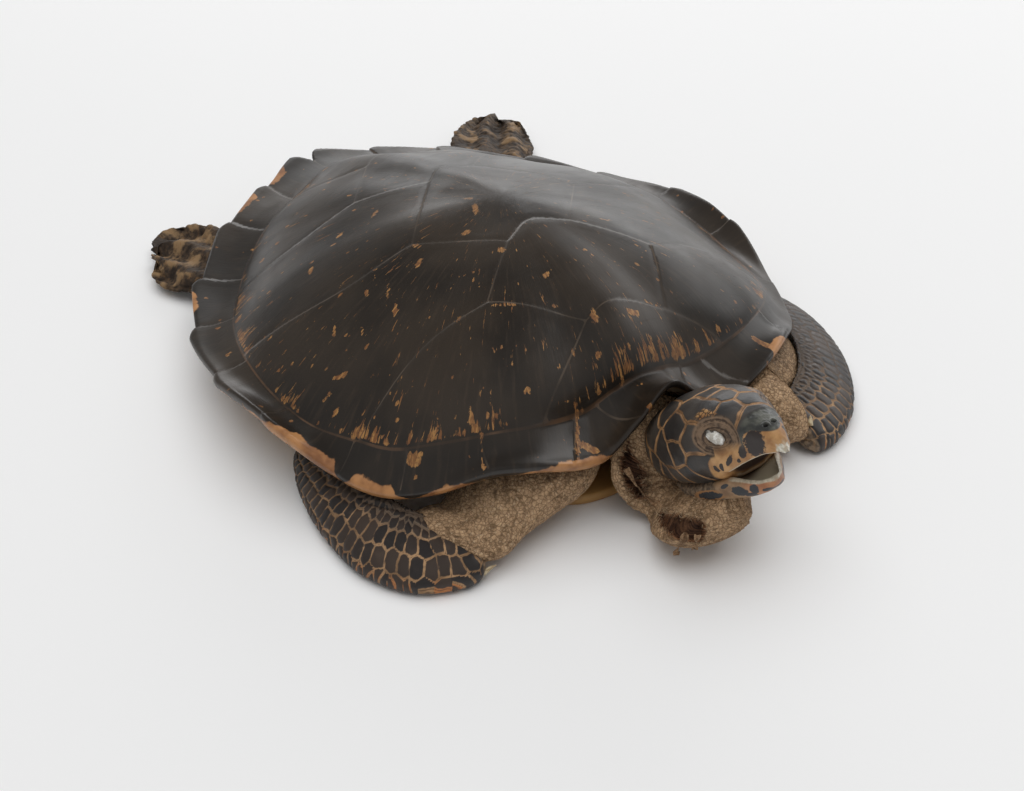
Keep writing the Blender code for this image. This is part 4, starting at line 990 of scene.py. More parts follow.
# the rows are laid out on a stretched drawing of the blade, whose two faces are this far apart
SCALE_STRETCH, HALF_BLADE = (1.15, 0.78), 0.003
# how high a scale stands, over what width it rises, and how far its border lies below the blade
SCALE_HEIGHT, SCALE_SHOULDER, BORDER_SINK = 0.00075, 0.0022, 0.00055
# size and reach of the waves in the rows, and spread of each scale's own place
WAVE_SIZE, WAVE_REACH, SCALE_SCATTER = 0.009, 0.0012, 0.0009
# skin covers the root of a blade up to here, and is gone from there on, in metres along it
ROOT_SKIN = 0.002, 0.009
# points whose distances to all the seeds are held at once
BATCH = 20000


def step_up(x, low, high):
    t = np.clip((x - low) / (high - low), 0, 1)
    return t * t * (3 - 2 * t)


def plate_borders(points, seeds, groups):
    """Each grid point's plate, and its distance to that plate's border."""
    shape, points = points.shape[:-1], points.reshape(-1, points.shape[-1])
    seeds, groups = np.asarray(seeds, float), np.asarray(groups)
    own, gap = np.zeros(len(points), int), np.zeros(len(points))
    for start in range(0, len(points), BATCH):
        part = points[start:start + BATCH]
        square = ((part[:, None] - seeds[None]) ** 2).sum(2)
        first = square.argmin(1)
        near = square[np.arange(len(part)), first]
        square[groups[None] == groups[first][:, None]] = np.inf
        second = square.argmin(1)
        between = np.linalg.norm(seeds[first] - seeds[second], axis=1)
        gap[start:start + BATCH] = (square[np.arange(len(part)), second] - near) / (2 * between)
        own[start:start + BATCH] = groups[first]
    return own.reshape(shape), gap.reshape(shape)


def blade_rings(outer, inner, thickness, step, sides):
    """Rings of a flipper between its two edges, with how far along (metres) and across (-1 to 1) they are."""
    fine = np.hstack([spline(outer, 400), spline(inner, 400), spline(thickness, 400)])
    middle = (fine[:, :3] + fine[:, 3:6]) / 2
    travel = travelled(middle)
    count = int(travel[-1] / step) + 1
    at = np.linspace(0, travel[-1], count)
    data = np.stack([np.interp(at, travel, column) for column in fine.T], 1)
    a, b, thick = data[:, :3], data[:, 3:6], data[:, 6]
    centre, chord = (a + b) / 2, b - a
    width = np.linalg.norm(chord, axis=1)
    chord /= width[:, None]
    along = np.gradient(centre, axis=0)
    normal = np.cross(along, chord)
    normal /= np.linalg.norm(normal, axis=1)[:, None]
    normal *= np.where(normal[:, 2] < 0, -1, 1)[:, None]
    turn = np.linspace(0, 2 * math.pi, sides, endpoint=False)
    c, s = np.cos(turn), np.sin(turn)
    from_end = np.minimum(at / 0.007, (travel[-1] - at) / 0.010)
    close = np.sqrt(1 - (1 - np.clip(from_end, 0.02, 1)) ** 2)
    body = np.where(s > 0, s, 0.7 * s) * (0.78 - 0.42 * c)
    half_chord, half_thick = width * (0.35 + 0.65 * close) / 2, thick * close / 2
    points = (centre[:, None] + chord[:, None] * (c[:, None] * half_chord[:, None, None])
              + normal[:, None] * (body[:, None] * half_thick[:, None, None]))
    return points, at, width, c, s


def build_scale_finish():
    """Dark horny scales with tan borders; the borders fade to grey towards the inner edge."""
    scaly = Finish("flipper_scale_horn", IOR=1.48)
    border, tone, across, faded, root = (
        scaly.attribute(key) for key in ("border", "tone", "across", "faded", "root"))
    ragged = scaly.noise(420.0, detail=2.0)
    cloud = scaly.noise(95.0, detail=3.0)
    dark = scaly.mix(tone.over(0.15, 0.95), (0.020, 0.0165, 0.0155), (0.046, 0.031, 0.023))
    dark = scaly.mix(cloud.over(0.54, 0.76) * 0.4, dark, (0.080, 0.053, 0.036))
    tan = scaly.mix(cloud.over(0.35, 0.65), (0.230, 0.130, 0.062), (0.44, 0.265, 0.135))
    tan = scaly.mix(across.over(0.05, 0.65) * 0.85, tan, (0.115, 0.090, 0.070))
    tan = scaly.mix(across.over(-0.72, -0.95) * tone.over(0.45, 0.65), tan, (0.48, 0.19, 0.065))
    tan = scaly.mix(faded, tan, (0.070, 0.050, 0.037))
    line = (border + (ragged - 0.5) * 0.0007).over(0.00072, 0.00030)
    colour = scaly.mix(line, dark, tan)
    colour = scaly.mix(border.over(0.00022, 0.00006) * 0.6, colour, (0.05, 0.03, 0.02))
    fine = scaly.noise(700.0, detail=2.0)
    dried = scaly.mix(ragged.over(0.35, 0.65), (0.110, 0.070, 0.040), (0.400, 0.275, 0.165))
    colour = scaly.mix((root + (cloud - 0.5) * 0.9).over(0.45, 0.75) * 0.60, colour, dried)
    relief = scaly.bump(fine * 0.5 + cloud * 0.5, 0.00022, 0.5)
    return scaly.shade(Base_Color=colour, Roughness=0.38 + line * 0.25 + cloud * 0.14, Normal=relief)


scale_finish = build_scale_finish()


def front_flipper(name, shape, seed, fading):
    """A blade whose upper and lower face bear rows of scales, one seed a scale."""
    points, at, width, c, s = blade_rings(*shape, BLADE_STEP, BLADE_SIDES)
    rng = np.random.default_rng(seed)
    mean_width = width.mean()
    seeds = []
    for face in (1, -1):
        for place, pitch in SCALE_ROWS:
            for k in range(int(at[-1] / pitch) + 1):
                u = (k + rng.uniform(0.36, 0.64)) * pitch
                v = place * mean_width / 2 + rng.normal(0, SCALE_SCATTER)
                on_face = face * HALF_BLADE if abs(place) < 0.99 else 0.0
                seeds.append((u * SCALE_STRETCH[0], v * SCALE_STRETCH[1], on_face))
    tone = rng.uniform(0, 1, len(seeds))
    flat = on_grid(at[:, None], c * mean_width / 2, s * HALF_BLADE)
    warped = flat * (*SCALE_STRETCH, 1.0)
    warped[..., :2] += on_grid(*(ripple(flat, WAVE_SIZE, seed + k) for k in (1, 2))) * WAVE_REACH
    own, gap = plate_borders(warped, seeds, np.arange(len(seeds)))
    lift = SCALE_HEIGHT * (1 - (1 - np.clip(gap / SCALE_SHOULDER, 0, 1)) ** 2.2) - BORDER_SINK
    points = tucked(points + ring_normals(points) * lift[..., None])
    piece = ring_piece(name + "_scales", points, scale_finish, border=gap, tone=tone[own], across=c,
                       faded=fading * np.clip((at[:, None] - 0.03) / 0.03, 0, 1),
                       root=(1 - step_up(at, *ROOT_SKIN))[:, None])
    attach(piece, "root")
    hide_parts(name)


front_flipper("right_front_flipper", RIGHT_FRONT_FLIPPER, 21, 0.25)
front_flipper("left_front_flipper", LEFT_FRONT_FLIPPER, 24, 0.90)


def build_fan_finish():
    """Papery dried web: dark brown, with ochre where it is rubbed, a few scale borders and painted shade in
    its hollows.
    """
    fan = Finish("dried_fan", IOR=1.45, Specular_IOR_Level=0.3)
    border, crumple = fan.attribute("border"), fan.attribute("crumple")
    cloud, fine = fan.noise(75.0, detail=4.0, roughness=0.65), fan.noise(420.0, detail=3.0)
    brown = fan.mix(fine.over(0.35, 0.68), (0.030, 0.021, 0.015), (0.100, 0.064, 0.038))
    brown = fan.mix((crumple * 0.30 + cloud).over(0.52, 0.72) * 0.8, brown, (0.300, 0.190, 0.095))
    brown = fan.mix(border.over(0.0006, 0.0002) * cloud.over(0.45, 0.62) * 0.6, brown, (0.220, 0.115, 0.050))
    # painted shade in the hollows of the crumples
    crumple_shade = crumple * -1.0 + (fine - 0.5) * 0.6
    brown = fan.mix(crumple_shade.over(0.12, 0.50) * 0.7, brown, (0.014, 0.010, 0.008))
    relief = fan.bump(fine + cloud, 0.0005, 0.7)
    return fan.shade(Base_Color=brown, Roughness=0.48 + fine * 0.25, Normal=relief)


fan_finish = build_fan_finish()
# folds across a fan, their height, then the size and height of its crumples
FOLD_COUNT, FOLD_HEIGHT, CRUMPLE_SIZE, CRUMPLE_HEIGHT = 2.6, 0.0023, 0.011, 0.0018
# spacing of a fan's scales along and across it, how far its torn end falls back, and from what share of
# its length
FAN_PITCH, FAN_ROWS, TORN_BACK, TORN_FROM = 0.0052, 0.30, 0.013, 0.62


def hind_flipper(name, shape, seed):
    """Crumpled, dried fan: folds run along it and its end is ragged."""
    points, at, width, c, s = blade_rings(*shape, FAN_STEP, FAN_SIDES)
    rng = np.random.default_rng(seed)
    t = at / at[-1]
    normals = ring_normals(points)
    wave = np.sin((c * FOLD_COUNT + 0.5 * np.sin(t * 5)[:, None]) * math.pi)
    fold = wave * FOLD_HEIGHT * (0.4 + t[:, None])
    lattice = [(u, v) for v in np.arange(-0.9, 1.0, FAN_ROWS) for u in np.arange(0.002, at[-1], FAN_PITCH)]
    seeds = np.array(lattice) * (1, width.mean() / 2) + rng.normal(0, 0.0008, (len(lattice), 2))
    flat = on_grid(at[:, None], c * width.mean() / 2)
    _, gap = plate_borders(flat, seeds, np.arange(len(seeds)))
    crumple = ripple(points, CRUMPLE_SIZE, seed, 3)
    lift = fold * np.where(s > 0, 1, -1) + CRUMPLE_HEIGHT * crumple + 0.0005 * np.clip(gap / 0.0016, 0, 1)
    notch = ripple(on_grid(c * 0.01, 0.0, seed * 0.01), 0.0038, seed)
    late = np.clip((t - TORN_FROM) / 0.38, 0, 1)[:, None] ** 1.5
    back = TORN_BACK * late * np.clip(0.30 + 1.3 * notch, 0, 1)
    outward = np.gradient(points.mean(1), axis=0)
    outward /= np.linalg.norm(outward, axis=1)[:, None]
    points = points + normals * (lift - 0.0004)[..., None] - outward[:, None] * back[..., None]
    piece = ring_piece(name + "_fan", tucked(points), fan_finish, border=gap, crumple=crumple)
    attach(piece, "root")
    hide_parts(name)


hind_flipper("right_hind_flipper", RIGHT_HIND_FLIPPER, 31)
hind_flipper("left_hind_flipper", LEFT_HIND_FLIPPER, 34)

# one pale claw on each front flipper: base, tip and half width
CLAWS = (("right_claw", (-0.1262, -0.1974, 0.0054), (-0.1188, -0.1993, 0.0090), 0.0013),
         ("left_claw", (0.0950, -0.2178, 0.0165), (0.0985, -0.2140, 0.0205), 0.0016))
CLAW_RINGS, CLAW_SIDES = 14, 16
claw_horn = Finish("pale_claw_horn", IOR=1.5, Roughness=0.4)
claw_tone = claw_horn.noise(300.0, detail=2.0)
claw_horn.shade(Base_Color=claw_horn.mix(claw_tone.over(0.35, 0.65), (0.33, 0.23, 0.12), (0.62, 0.52, 0.34)))
for name, start, end, half in CLAWS:
    t = np.linspace(0, 1, CLAW_RINGS)
    middle = np.array(start) + (np.array(end) - np.array(start)) * t[:, None]
    middle[:, 2] += 0.0008 * np.sin(math.pi * t)
    heading = Vector(end) - Vector(start)
    across = np.array(heading.orthogonal().normalized())
    other = np.array(heading.normalized().cross(Vector(across)))
    turn = np.linspace(0, 2 * math.pi, CLAW_SIDES, endpoint=False)
    circle = across * np.cos(turn)[:, None] + other * np.sin(turn)[:, None]
    taper = half * (1 - t ** 1.6) + 0.0002
    claw = ring_piece(name, middle[:, None] + circle * taper[:, None, None], claw_horn.material)
    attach(claw, "root")

# ---- Head --------------------------------------------------------------------------------------------
# The skull in its horn: slate-black plates with tan borders, a tan beak with dark bars, sunken eye
# sockets. It is made in its own frame (forward, sideways, up) and set nose up on the neck.
HEAD_STEP = 0.00055
HEAD_SIDES = 300
HEAD_POSE = Matrix.LocRotScale(
    Vector((0.0094, -0.2127, 0.0373)),
    Euler([math.radians(a) for a in (-29.0, -6.1, -5.8)], "YXZ"), None)
# forward, half width, crown height, lower edge
HEAD_SECTIONS = (
    (-0.0140, 0.0150, 0.0180, -0.0080), (-0.0110, 0.0225, 0.0250, -0.0130),
    (-0.0040, 0.0262, 0.0290, -0.0150), (0.0080, 0.0282, 0.0335, -0.0155),
    (0.0220, 0.0290, 0.0364, -0.0150), (0.0360, 0.0288, 0.0376, -0.0125),
    (0.0480, 0.0268, 0.0374, -0.0086), (0.0540, 0.0253, 0.0366, -0.0074),
    (0.0565, 0.0246, 0.0361, -0.0050), (0.0585, 0.0236, 0.0356, -0.0006),
    (0.0640, 0.0202, 0.0340, 0.0020), (0.0700, 0.0164, 0.0318, 0.0048), (0.0770, 0.0126, 0.0288, 0.0074),
    (0.0840, 0.0090, 0.0256, 0.0091), (0.0885, 0.0066, 0.0234, 0.0094), (0.0920, 0.0040, 0.0208, 0.0092),
    (0.0942, 0.0018, 0.0170, 0.0080))
# plates of the right side and of the middle, each by one or more seeds (forward, sideways, up) in mm
SIDE_PLATES = (((4, -24.8, 22), (4, -20, 28)), ((-7, -25, 9),), ((3, -27, 2.4),), ((10, -26, -2),),
               ((22, -25.5, -3),), ((33, -29, 14),), ((47, -25.6, 8),), ((33.5, -26, 27),),
               ((13, -16, 33.6),), ((38.7, -14.7, 37.6), (50, -12.5, 37.5)), ((65, -6.5, 35),),
               ((20, -28, 12),), ((35, -26, 1),), ((45, -24, 20),))
MIDDLE_PLATES = (((16, 0, 37), (24, 0, 39)), ((36, 0, 40),), ((50, 0, 39),), ((76, 0, 32),))
# upper edge of the beak's horn: forward, up
BEAK_EDGE = ((0.050, -0.002), (0.053, 0.004), (0.055, 0.009), (0.058, 0.012), (0.064, 0.014), (0.071, 0.0155),
             (0.076, 0.0180), (0.0775, 0.0222), (0.081, 0.0236), (0.088, 0.0220), (0.098, 0.0200))
# dark marks on the beak: forward, up, half length, half width in mm and lean in degrees
BEAK_MARKS = ((57, 4.8, 2.6, 1.0, 75), (61.4, 5.6, 2.4, 1.0, 80), (66.5, 9.0, 3.6, 1.2, 60),
              (71, 8.2, 1.4, 0.9, 60), (74.5, 12.4, 3.2, 2.2, 70), (82.3, 16.4, 7.6, 5.3, 82))
FAR_BEAK_MARKS = ((89.0, 15.0, 6.0, 2.4, 85),)
# the beak's tip is chipped: where, how stretched the chip is, and where its edge starts and ends
CHIP_CENTRE, CHIP_SHAPE, CHIP_EDGE = (0.0935, -0.0008, 0.0110), (1.0, 1.3, 0.9), (0.0031, 0.0038)
# how high a plate stands, over what width it rises, and how far the beak is hollowed from below
PLATE_HEIGHT, PLATE_SHOULDER, PALATE_RISE = 0.00055, 0.0016, 0.0052
SOCKET_CENTRE, SOCKET_SIZE, SOCKET_DEPTH, SOCKET_LEAN = (0.0622, 0.0222), (0.0140, 0.0096), 0.0034, -22
NOSTRIL, NOSTRIL_SIZE, NOSTRIL_DEPTH = (0.0864, 0.0026, 0.0243), 0.0013, 0.0016


def leaning(f, u, centre, lean):
    """Offsets along and across a mark that leans by an angle from forward."""
    a = math.radians(lean)
    df, du = f - centre[0], u - centre[1]
    return df * math.cos(a) + du * math.sin(a), du * math.cos(a) - df * math.sin(a)


def marks_field(f, u, marks):
    """1 in the middle of the nearest mark, 0 on its outline, negative outside."""
    best = np.full(f.shape, -9.0)
    for mf, mu, length, breadth, lean in marks:
        along, across = leaning(f * 1000, u * 1000, (mf, mu), lean)
        best = np.maximum(best, 1 - np.hypot(along / length, across / breadth))
    return best


def into_world(local):
    """World places of points given forward, sideways and up in the head's frame."""
    turn = np.array(HEAD_POSE.to_3x3())
    points = np.stack([local[..., 1], -local[..., 0], local[..., 2]], -1)
    return points @ turn.T + np.array(HEAD_POSE.translation)


def along_sections(f, sections, column):
    """One measure of a table of sections at any forward place."""
    return np.interp(f, [row[0] for row in sections], [row[column] for row in sections])


sections = [(f, 0, (crown + low) / 2, half_width, (crown - low) / 2, (crown - low) / 2)
            for f, half_width, crown, low in HEAD_SECTIONS]
rings, turn = section_rings(sections, HEAD_STEP, HEAD_SIDES, 0.85,
                            lambda f: 0.85 - 0.61 * step_up(f, 0.055, 0.062))
f, s, u = np.moveaxis(rings, -1, 0)
half_width, lower = (along_sections(f, HEAD_SECTIONS, k) for k in (1, 3))
seeds, groups = [], []
for number, plate in enumerate(SIDE_PLATES):
    for side in (1, -1):
        for seed in plate:
            seeds.append((seed[0], seed[1] * side, seed[2]))
            groups.append(2 * number + (side < 0))
for number, plate in enumerate(MIDDLE_PLATES):
    seeds += plate
    groups += [200 + number] * len(plate)
wobble = on_grid(*(ripple(rings, 0.011, 40 + k) for k in range(3))) * 0.0017
_, gap = plate_borders(rings + wobble, np.array(seeds) / 1000, groups)
beak_top = np.interp(f, *zip(*BEAK_EDGE))
beak = step_up(beak_top - u, -0.0003, 0.0003) * step_up(f, 0.0500, 0.0505)
nasal = step_up(f, 0.0745, 0.0760) * (1 - beak)
along, across = leaning(f, u, SOCKET_CENTRE, SOCKET_LEAN)
socket_reach = np.hypot(along / SOCKET_SIZE[0], across / SOCKET_SIZE[1])
socket = (1 - step_up(socket_reach, 0.94, 1.04)) * (np.abs(s) > 0.008)
slit = np.hypot(along / 0.0068, across / 0.0030)
brow = step_up(socket_reach, 0.98, 1.04) * (1 - step_up(socket_reach, 1.30, 1.42))
brow *= step_up(across, 0.0030, 0.0050)
brow *= (1 - step_up(along, 0.0070, 0.0110)) * step_up(np.abs(s), 0.0125, 0.0140)
throat = step_up(-u, 0.0058, 0.0072) * (1 - step_up(f, 0.050, 0.054))
throat = np.maximum(throat, 1 - step_up(f, -0.0105, -0.0085))
horn_plate = (1 - beak) * (1 - nasal) * (1 - socket) * (1 - throat)
tomium = step_up(f, 0.052, 0.058)
under_beak = step_up(lower + 0.0011 - u, 0, 0.0006) * tomium
palate = np.clip(1 - (s / (half_width * 0.80)) ** 2, 0, 1) * step_up(f, 0.052, 0.062)
palate *= (1 - step_up(f, 0.090, 0.095)) * (np.sin(turn) < 0)
fine, broad = ripple(rings, 0.0022, 51), ripple(rings, 0.012, 52)
lift = horn_plate * PLATE_HEIGHT * (1 - (1 - np.clip(gap / PLATE_SHOULDER, 0, 1)) ** 2)
lift += 0.00035 * broad + throat * 0.00045 * fine + nasal * 0.00022 * fine
bowl = np.clip(1 - socket_reach ** 2, 0, 1)
lids = np.exp(-((slit - 1.45) / 0.35) ** 2) * 0.0011 + np.exp(-((slit - 2.3) / 0.25) ** 2) * 0.0004
lift += socket * (lids - SOCKET_DEPTH * bowl ** 0.8 + 0.00035 * fine)
holes = [np.linalg.norm(rings - np.array(NOSTRIL) * (1, side, 1), axis=2) for side in (1, -1)]
for hole in holes:
    lift -= NOSTRIL_DEPTH * np.exp(-(hole / NOSTRIL_SIZE) ** 4)
    lift += 0.0004 * np.exp(-((hole - 0.0019) / 0.0006) ** 2)
broken = np.linalg.norm((rings - np.array(CHIP_CENTRE)) / CHIP_SHAPE, axis=2)
chip = 1 - step_up(broken, *CHIP_EDGE)
lift += chip * (0.0006 * fine - 0.0004)
shaped = rings + ring_normals(rings) * lift[..., None]
shaped[..., 2] += PALATE_RISE * palate
# the nostril holes are painted near black as shade
nostril_shade = 1 - step_up(np.minimum(*holes), 0.0009, 0.0015)
far_marks = np.where(s > 0.0015, marks_field(f, u, FAR_BEAK_MARKS), -9.0)
marks = np.maximum(marks_field(f, u, BEAK_MARKS), far_marks)


def build_head_horn():
    """Slate plates, tan borders, barred beak and wrinkled sockets, told apart by the mesh's attributes."""
    horn = Finish("head_plate_horn", IOR=1.5)
    border, beak_share, nose, eye_hollow, skin, lip, inside_mouth, chipped, pit, mark, brow_scale, reach = (
        horn.attribute(key) for key in ("border", "beak", "nasal", "socket", "throat", "lip", "palate",
                                        "chip", "pit", "mark", "brow", "reach"))
    cloud, fine = horn.noise(120.0, detail=3.0), horn.noise(520.0, detail=3.0)
    slow = horn.noise(42.0, detail=2.0)
    slate = horn.mix(slow.over(0.35, 0.70), (0.0260, 0.0235, 0.0225), (0.066, 0.055, 0.046))
    slate = horn.mix(cloud.over(0.55, 0.80) * 0.5, slate, (0.085, 0.068, 0.052))
    tan = horn.mix(cloud.over(0.32, 0.66), (0.160, 0.084, 0.038), (0.40, 0.220, 0.098))
    edge = (border + (fine - 0.5) * 0.0009 - (slow - 0.5) * 0.0016).over(0.00130, 0.00075)
    colour = horn.mix(edge, slate, tan)
    colour = horn.mix(border.over(0.00028, 0.00008) * 0.75, colour, (0.045, 0.027, 0.017))
    granule = horn.cells(400.0, feature="DISTANCE_TO_EDGE")
    grains = horn.mix(cloud.over(0.35, 0.62), (0.250, 0.110, 0.038), (0.400, 0.220, 0.085))
    grains = horn.mix(granule.over(0.16, 0.04), grains, (0.050, 0.028, 0.016))
    colour = horn.mix(brow_scale, colour, grains)
    round_eye = horn.add("ShaderNodeCombineXYZ", None, {0: reach * 13.0, 1: slow * 2.0})
    creases = horn.noise(1.0, round_eye, detail=3.0)
    lined = (creases + (fine - 0.5) * 0.5).over(0.36, 0.64)
    hollow = horn.mix(lined, (0.045, 0.027, 0.017), (0.215, 0.140, 0.086))
    colour = horn.mix(eye_hollow, colour, hollow)
    beak_tan = horn.mix(cloud.over(0.34, 0.66), (0.330, 0.155, 0.053), (0.56, 0.320, 0.135))
    patch = (mark + (fine - 0.5) * 0.9 + (cloud - 0.5) * 0.5).over(-0.10, 0.08)
    beak_tan = horn.mix(patch, beak_tan, (0.030, 0.021, 0.018))
    colour = horn.mix(beak_share, colour, beak_tan)
    grey = horn.mix(cloud.over(0.40, 0.62), (0.030, 0.031, 0.029), (0.085, 0.086, 0.070))
    colour = horn.mix(nose, colour, grey)
    wrinkled = horn.mix(fine.over(0.36, 0.64), (0.085, 0.060, 0.040), (0.235, 0.165, 0.105))
    colour = horn.mix(skin, colour, wrinkled)
    colour = horn.mix(lip, colour, (0.62, 0.54, 0.41))
    colour = horn.mix(inside_mouth, colour, (0.045, 0.022, 0.014))
    chip_tone = horn.mix(fine.over(0.35, 0.62), (0.56, 0.50, 0.38), (0.82, 0.79, 0.70))
    colour = horn.mix(chipped, colour, chip_tone)
    # painted shade inside the nostrils
    colour = horn.mix(pit, colour, (0.006, 0.005, 0.004))
    folds = creases * eye_hollow * 2.5 + granule.at_most(0.3) * brow_scale * 3.0
    relief = horn.bump(fine * 0.6 + cloud * 0.4 + folds, 0.0003, 0.6)
    rough = 0.34 + edge * 0.14 + skin * 0.3 + eye_hollow * 0.16 + cloud * 0.14
    return horn.shade(Base_Color=colour, Roughness=rough, Normal=relief)


head_horn = build_head_horn()
head_piece = ring_piece(
    "head_plates", into_world(shaped), head_horn, border=gap, beak=beak, nasal=nasal, socket=socket,
    throat=throat, lip=under_beak * (1 - (palate > 0.25)), palate=step_up(palate, 0.2, 0.4), chip=chip,
    pit=nostril_shade, mark=marks, brow=brow, reach=socket_reach)
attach(head_piece, "root")
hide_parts("head")

# ---- Eyes --------------------------------------------------------------------------------------------
# The sockets are filled with chalky white filler, cracked, darker along its upper edge and half closed
# by the dried lids.
EYE_CENTRE, EYE_SIZE, EYE_LEAN = (0.0578, 0.0228), (0.0080, 0.0040, 0.0037), -32
EYE_RINGS, EYE_SIDES = 34, 48
# name, side and distance from the middle of the head
EYES = (("right_eye", -1, 0.0174), ("left_eye", 1, 0.0150))


def build_filler():
    filler = Finish("chalky_filler", IOR=1.5)
    fleck = filler.noise(260.0, detail=4.0, roughness=0.7)
    crack, rim = filler.cells(420.0, feature="DISTANCE_TO_EDGE"), filler.attribute("rim")
    white = filler.mix(fleck.over(0.40, 0.62), (0.52, 0.49, 0.43), (0.84, 0.83, 0.79))
    # darker along the upper rear edge of the filler, with a ragged border
    white = filler.mix((rim + (fleck - 0.5) * 1.6).over(0.18, 0.50), white, (0.035, 0.028, 0.022))
    white = filler.mix(crack.over(0.06, 0.0) * 0.35, white, (0.25, 0.21, 0.16))
    relief = filler.bump(fleck, 0.0004, 0.6)
    return filler.shade(Base_Color=white, Roughness=0.22 + fleck * 0.3, Normal=relief)


filler = build_filler()
a = math.radians(EYE_LEAN)
theta = np.linspace(0.03, math.pi - 0.03, EYE_RINGS)[:, None]
phi = np.linspace(0, 2 * math.pi, EYE_SIDES, endpoint=False)
ball = on_grid(np.cos(theta), np.sin(theta) * np.cos(phi), np.sin(theta) * np.sin(phi))
for name, side, aside in EYES:
    bumps = ripple(ball * 0.01, 0.006, 60 + side, 3)
    scaled = ball * (1 + 0.10 * bumps)[..., None] * np.array(EYE_SIZE)
    along, across = scaled[..., 0], scaled[..., 2]
    local = np.stack([EYE_CENTRE[0] + along * math.cos(a) - across * math.sin(a),
                      side * (aside + scaled[..., 1]),
                      EYE_CENTRE[1] + along * math.sin(a) + across * math.cos(a)], 2)
    # higher towards the upper rear of the filler
    upper_rear_dark = ball[..., 2] * 0.4 - ball[..., 0] * 0.72
    eye = ring_piece(name + "_filler", into_world(local), filler, rim=upper_rear_dark)
    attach(eye, "root")
    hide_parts(name)

# ---- Lower jaw ---------------------------------------------------------------------------------------
# A horn-sheathed trough with a cream cutting edge, tan and orange outside with slate patches; the mouth
# stands a little open over its dark lining.
JAW_SIDES, TROUGH_DEPTH = 240, 0.0050
# forward, sideways middle, half width, upper edge, lower edge
JAW_SECTIONS = (
    (0.0040, 0.0, 0.0205, -0.0100, -0.0150), (0.0200, 0.0, 0.0245, -0.0088, -0.0195),
    (0.0360, 0.0, 0.0243, -0.0062, -0.0198), (0.0480, 0.0, 0.0218, -0.0044, -0.0190),
    (0.0550, 0.0, 0.0186, -0.0029, -0.0184), (0.0610, -0.0004, 0.0148, -0.0044, -0.0180),
    (0.0670, -0.0010, 0.0112, -0.0058, -0.0166), (0.0720, -0.0016, 0.0080, -0.0066, -0.0148),
    (0.0758, -0.0020, 0.0048, -0.0062, -0.0126), (0.0780, -0.0020, 0.0016, -0.0068, -0.0098))
JAW_MARKS = ((42, -12.6, 9.5, 2.3, 4), (60.5, -11.2, 4.2, 2.6, -20), (69.0, -10.6, 2.6, 2.6, 10),
             (65.5, -14.4, 3.2, 1.6, 5), (53.5, -7.4, 2.2, 1.2, 20), (74.5, -12.2, 1.8, 1.2, 10))
LINING_STEP, LINING_SIDES = 0.0015, 72
LINING_SECTIONS = (
    (0.012, 0, -0.006, 0.018, 0.006, 0.006), (0.030, 0, -0.004, 0.0225, 0.008, 0.008),
    (0.042, 0, -0.003, 0.0212, 0.006, 0.006), (0.049, 0, -0.002, 0.0180, 0.005, 0.004),
    (0.0525, 0, -0.001, 0.0110, 0.003, 0.003), (0.0540, 0, -0.001, 0.0040, 0.001, 0.001))

sections = [(f, middle, (high + low) / 2, half_width, (high - low) / 2, (high - low) / 2)
            for f, middle, half_width, high, low in JAW_SECTIONS]
rings, turn = section_rings(sections, HEAD_STEP, JAW_SIDES, 0.40, lambda f: 0.78)
f, s, u = np.moveaxis(rings, -1, 0)
middle, half_width, edge_height = (along_sections(f, JAW_SECTIONS, k) for k in (1, 2, 3))
fine, broad = ripple(rings, 0.0022, 71), ripple(rings, 0.01, 72)
jaw_skin = 1 - step_up(f + u * 0.6, 0.040, 0.046)
trough = np.clip(1 - ((s - middle) / (half_width * 0.80)) ** 2, 0, 1) * (np.sin(turn) > 0)
trough *= step_up(f, 0.042, 0.054) * (1 - step_up(f, 0.0735, 0.0765))
shaped = rings + ring_normals(rings) * (0.0003 * broad + 0.00045 * fine * jaw_skin)[..., None]
shaped[..., 2] -= TROUGH_DEPTH * trough ** 0.7
rim_line = step_up(u - edge_height, -0.0021, -0.0014) * step_up(f, 0.054, 0.058)
tip = step_up(f, 0.060, 0.068)
pale_floor = step_up(f + 0.5 * (s - middle), 0.053, 0.060)


def build_jaw_horn():
    horn = Finish("jaw_horn", IOR=1.5)
    mark, skin, rim, hollow, tip_share, pale_share = (
        horn.attribute(key) for key in ("mark", "skin", "rim", "hollow", "tip", "pale"))
    cloud, fine = horn.noise(130.0, detail=3.0), horn.noise(520.0, detail=3.0)
    tan = horn.mix(cloud.over(0.34, 0.66), (0.19, 0.105, 0.050), (0.36, 0.225, 0.120))
    orange = horn.mix(cloud.over(0.36, 0.64), (0.33, 0.125, 0.050), (0.48, 0.225, 0.105))
    tan = horn.mix(tip_share, tan, orange)
    border = (mark + (fine - 0.5) * 0.35).over(-0.55, -0.35)
    tan = horn.mix(border * skin, tan, (0.33, 0.165, 0.065))
    wrinkled = horn.mix(fine.over(0.36, 0.64), (0.085, 0.060, 0.040), (0.230, 0.160, 0.100))
    colour = horn.mix(skin * (1 - border), tan, wrinkled)
    patch = (mark + (fine - 0.5) * 0.5 + (cloud - 0.5) * 0.5).over(-0.06, 0.06)
    colour = horn.mix(patch, colour, (0.030, 0.032, 0.036))
    cream = horn.mix(fine.over(0.35, 0.65), (0.43, 0.37, 0.27), (0.60, 0.54, 0.42))
    colour = horn.mix(rim, colour, cream)
    floor_tone = horn.mix(pale_share, (0.060, 0.034, 0.020), (0.46, 0.40, 0.29))
    colour = horn.mix(hollow, colour, floor_tone)
    rough = 0.36 + skin * 0.3 + cloud * 0.14
    relief = horn.bump(fine * 0.6 + cloud * 0.4, 0.0003, 0.5)
    return horn.shade(Base_Color=colour, Roughness=rough, Normal=relief)


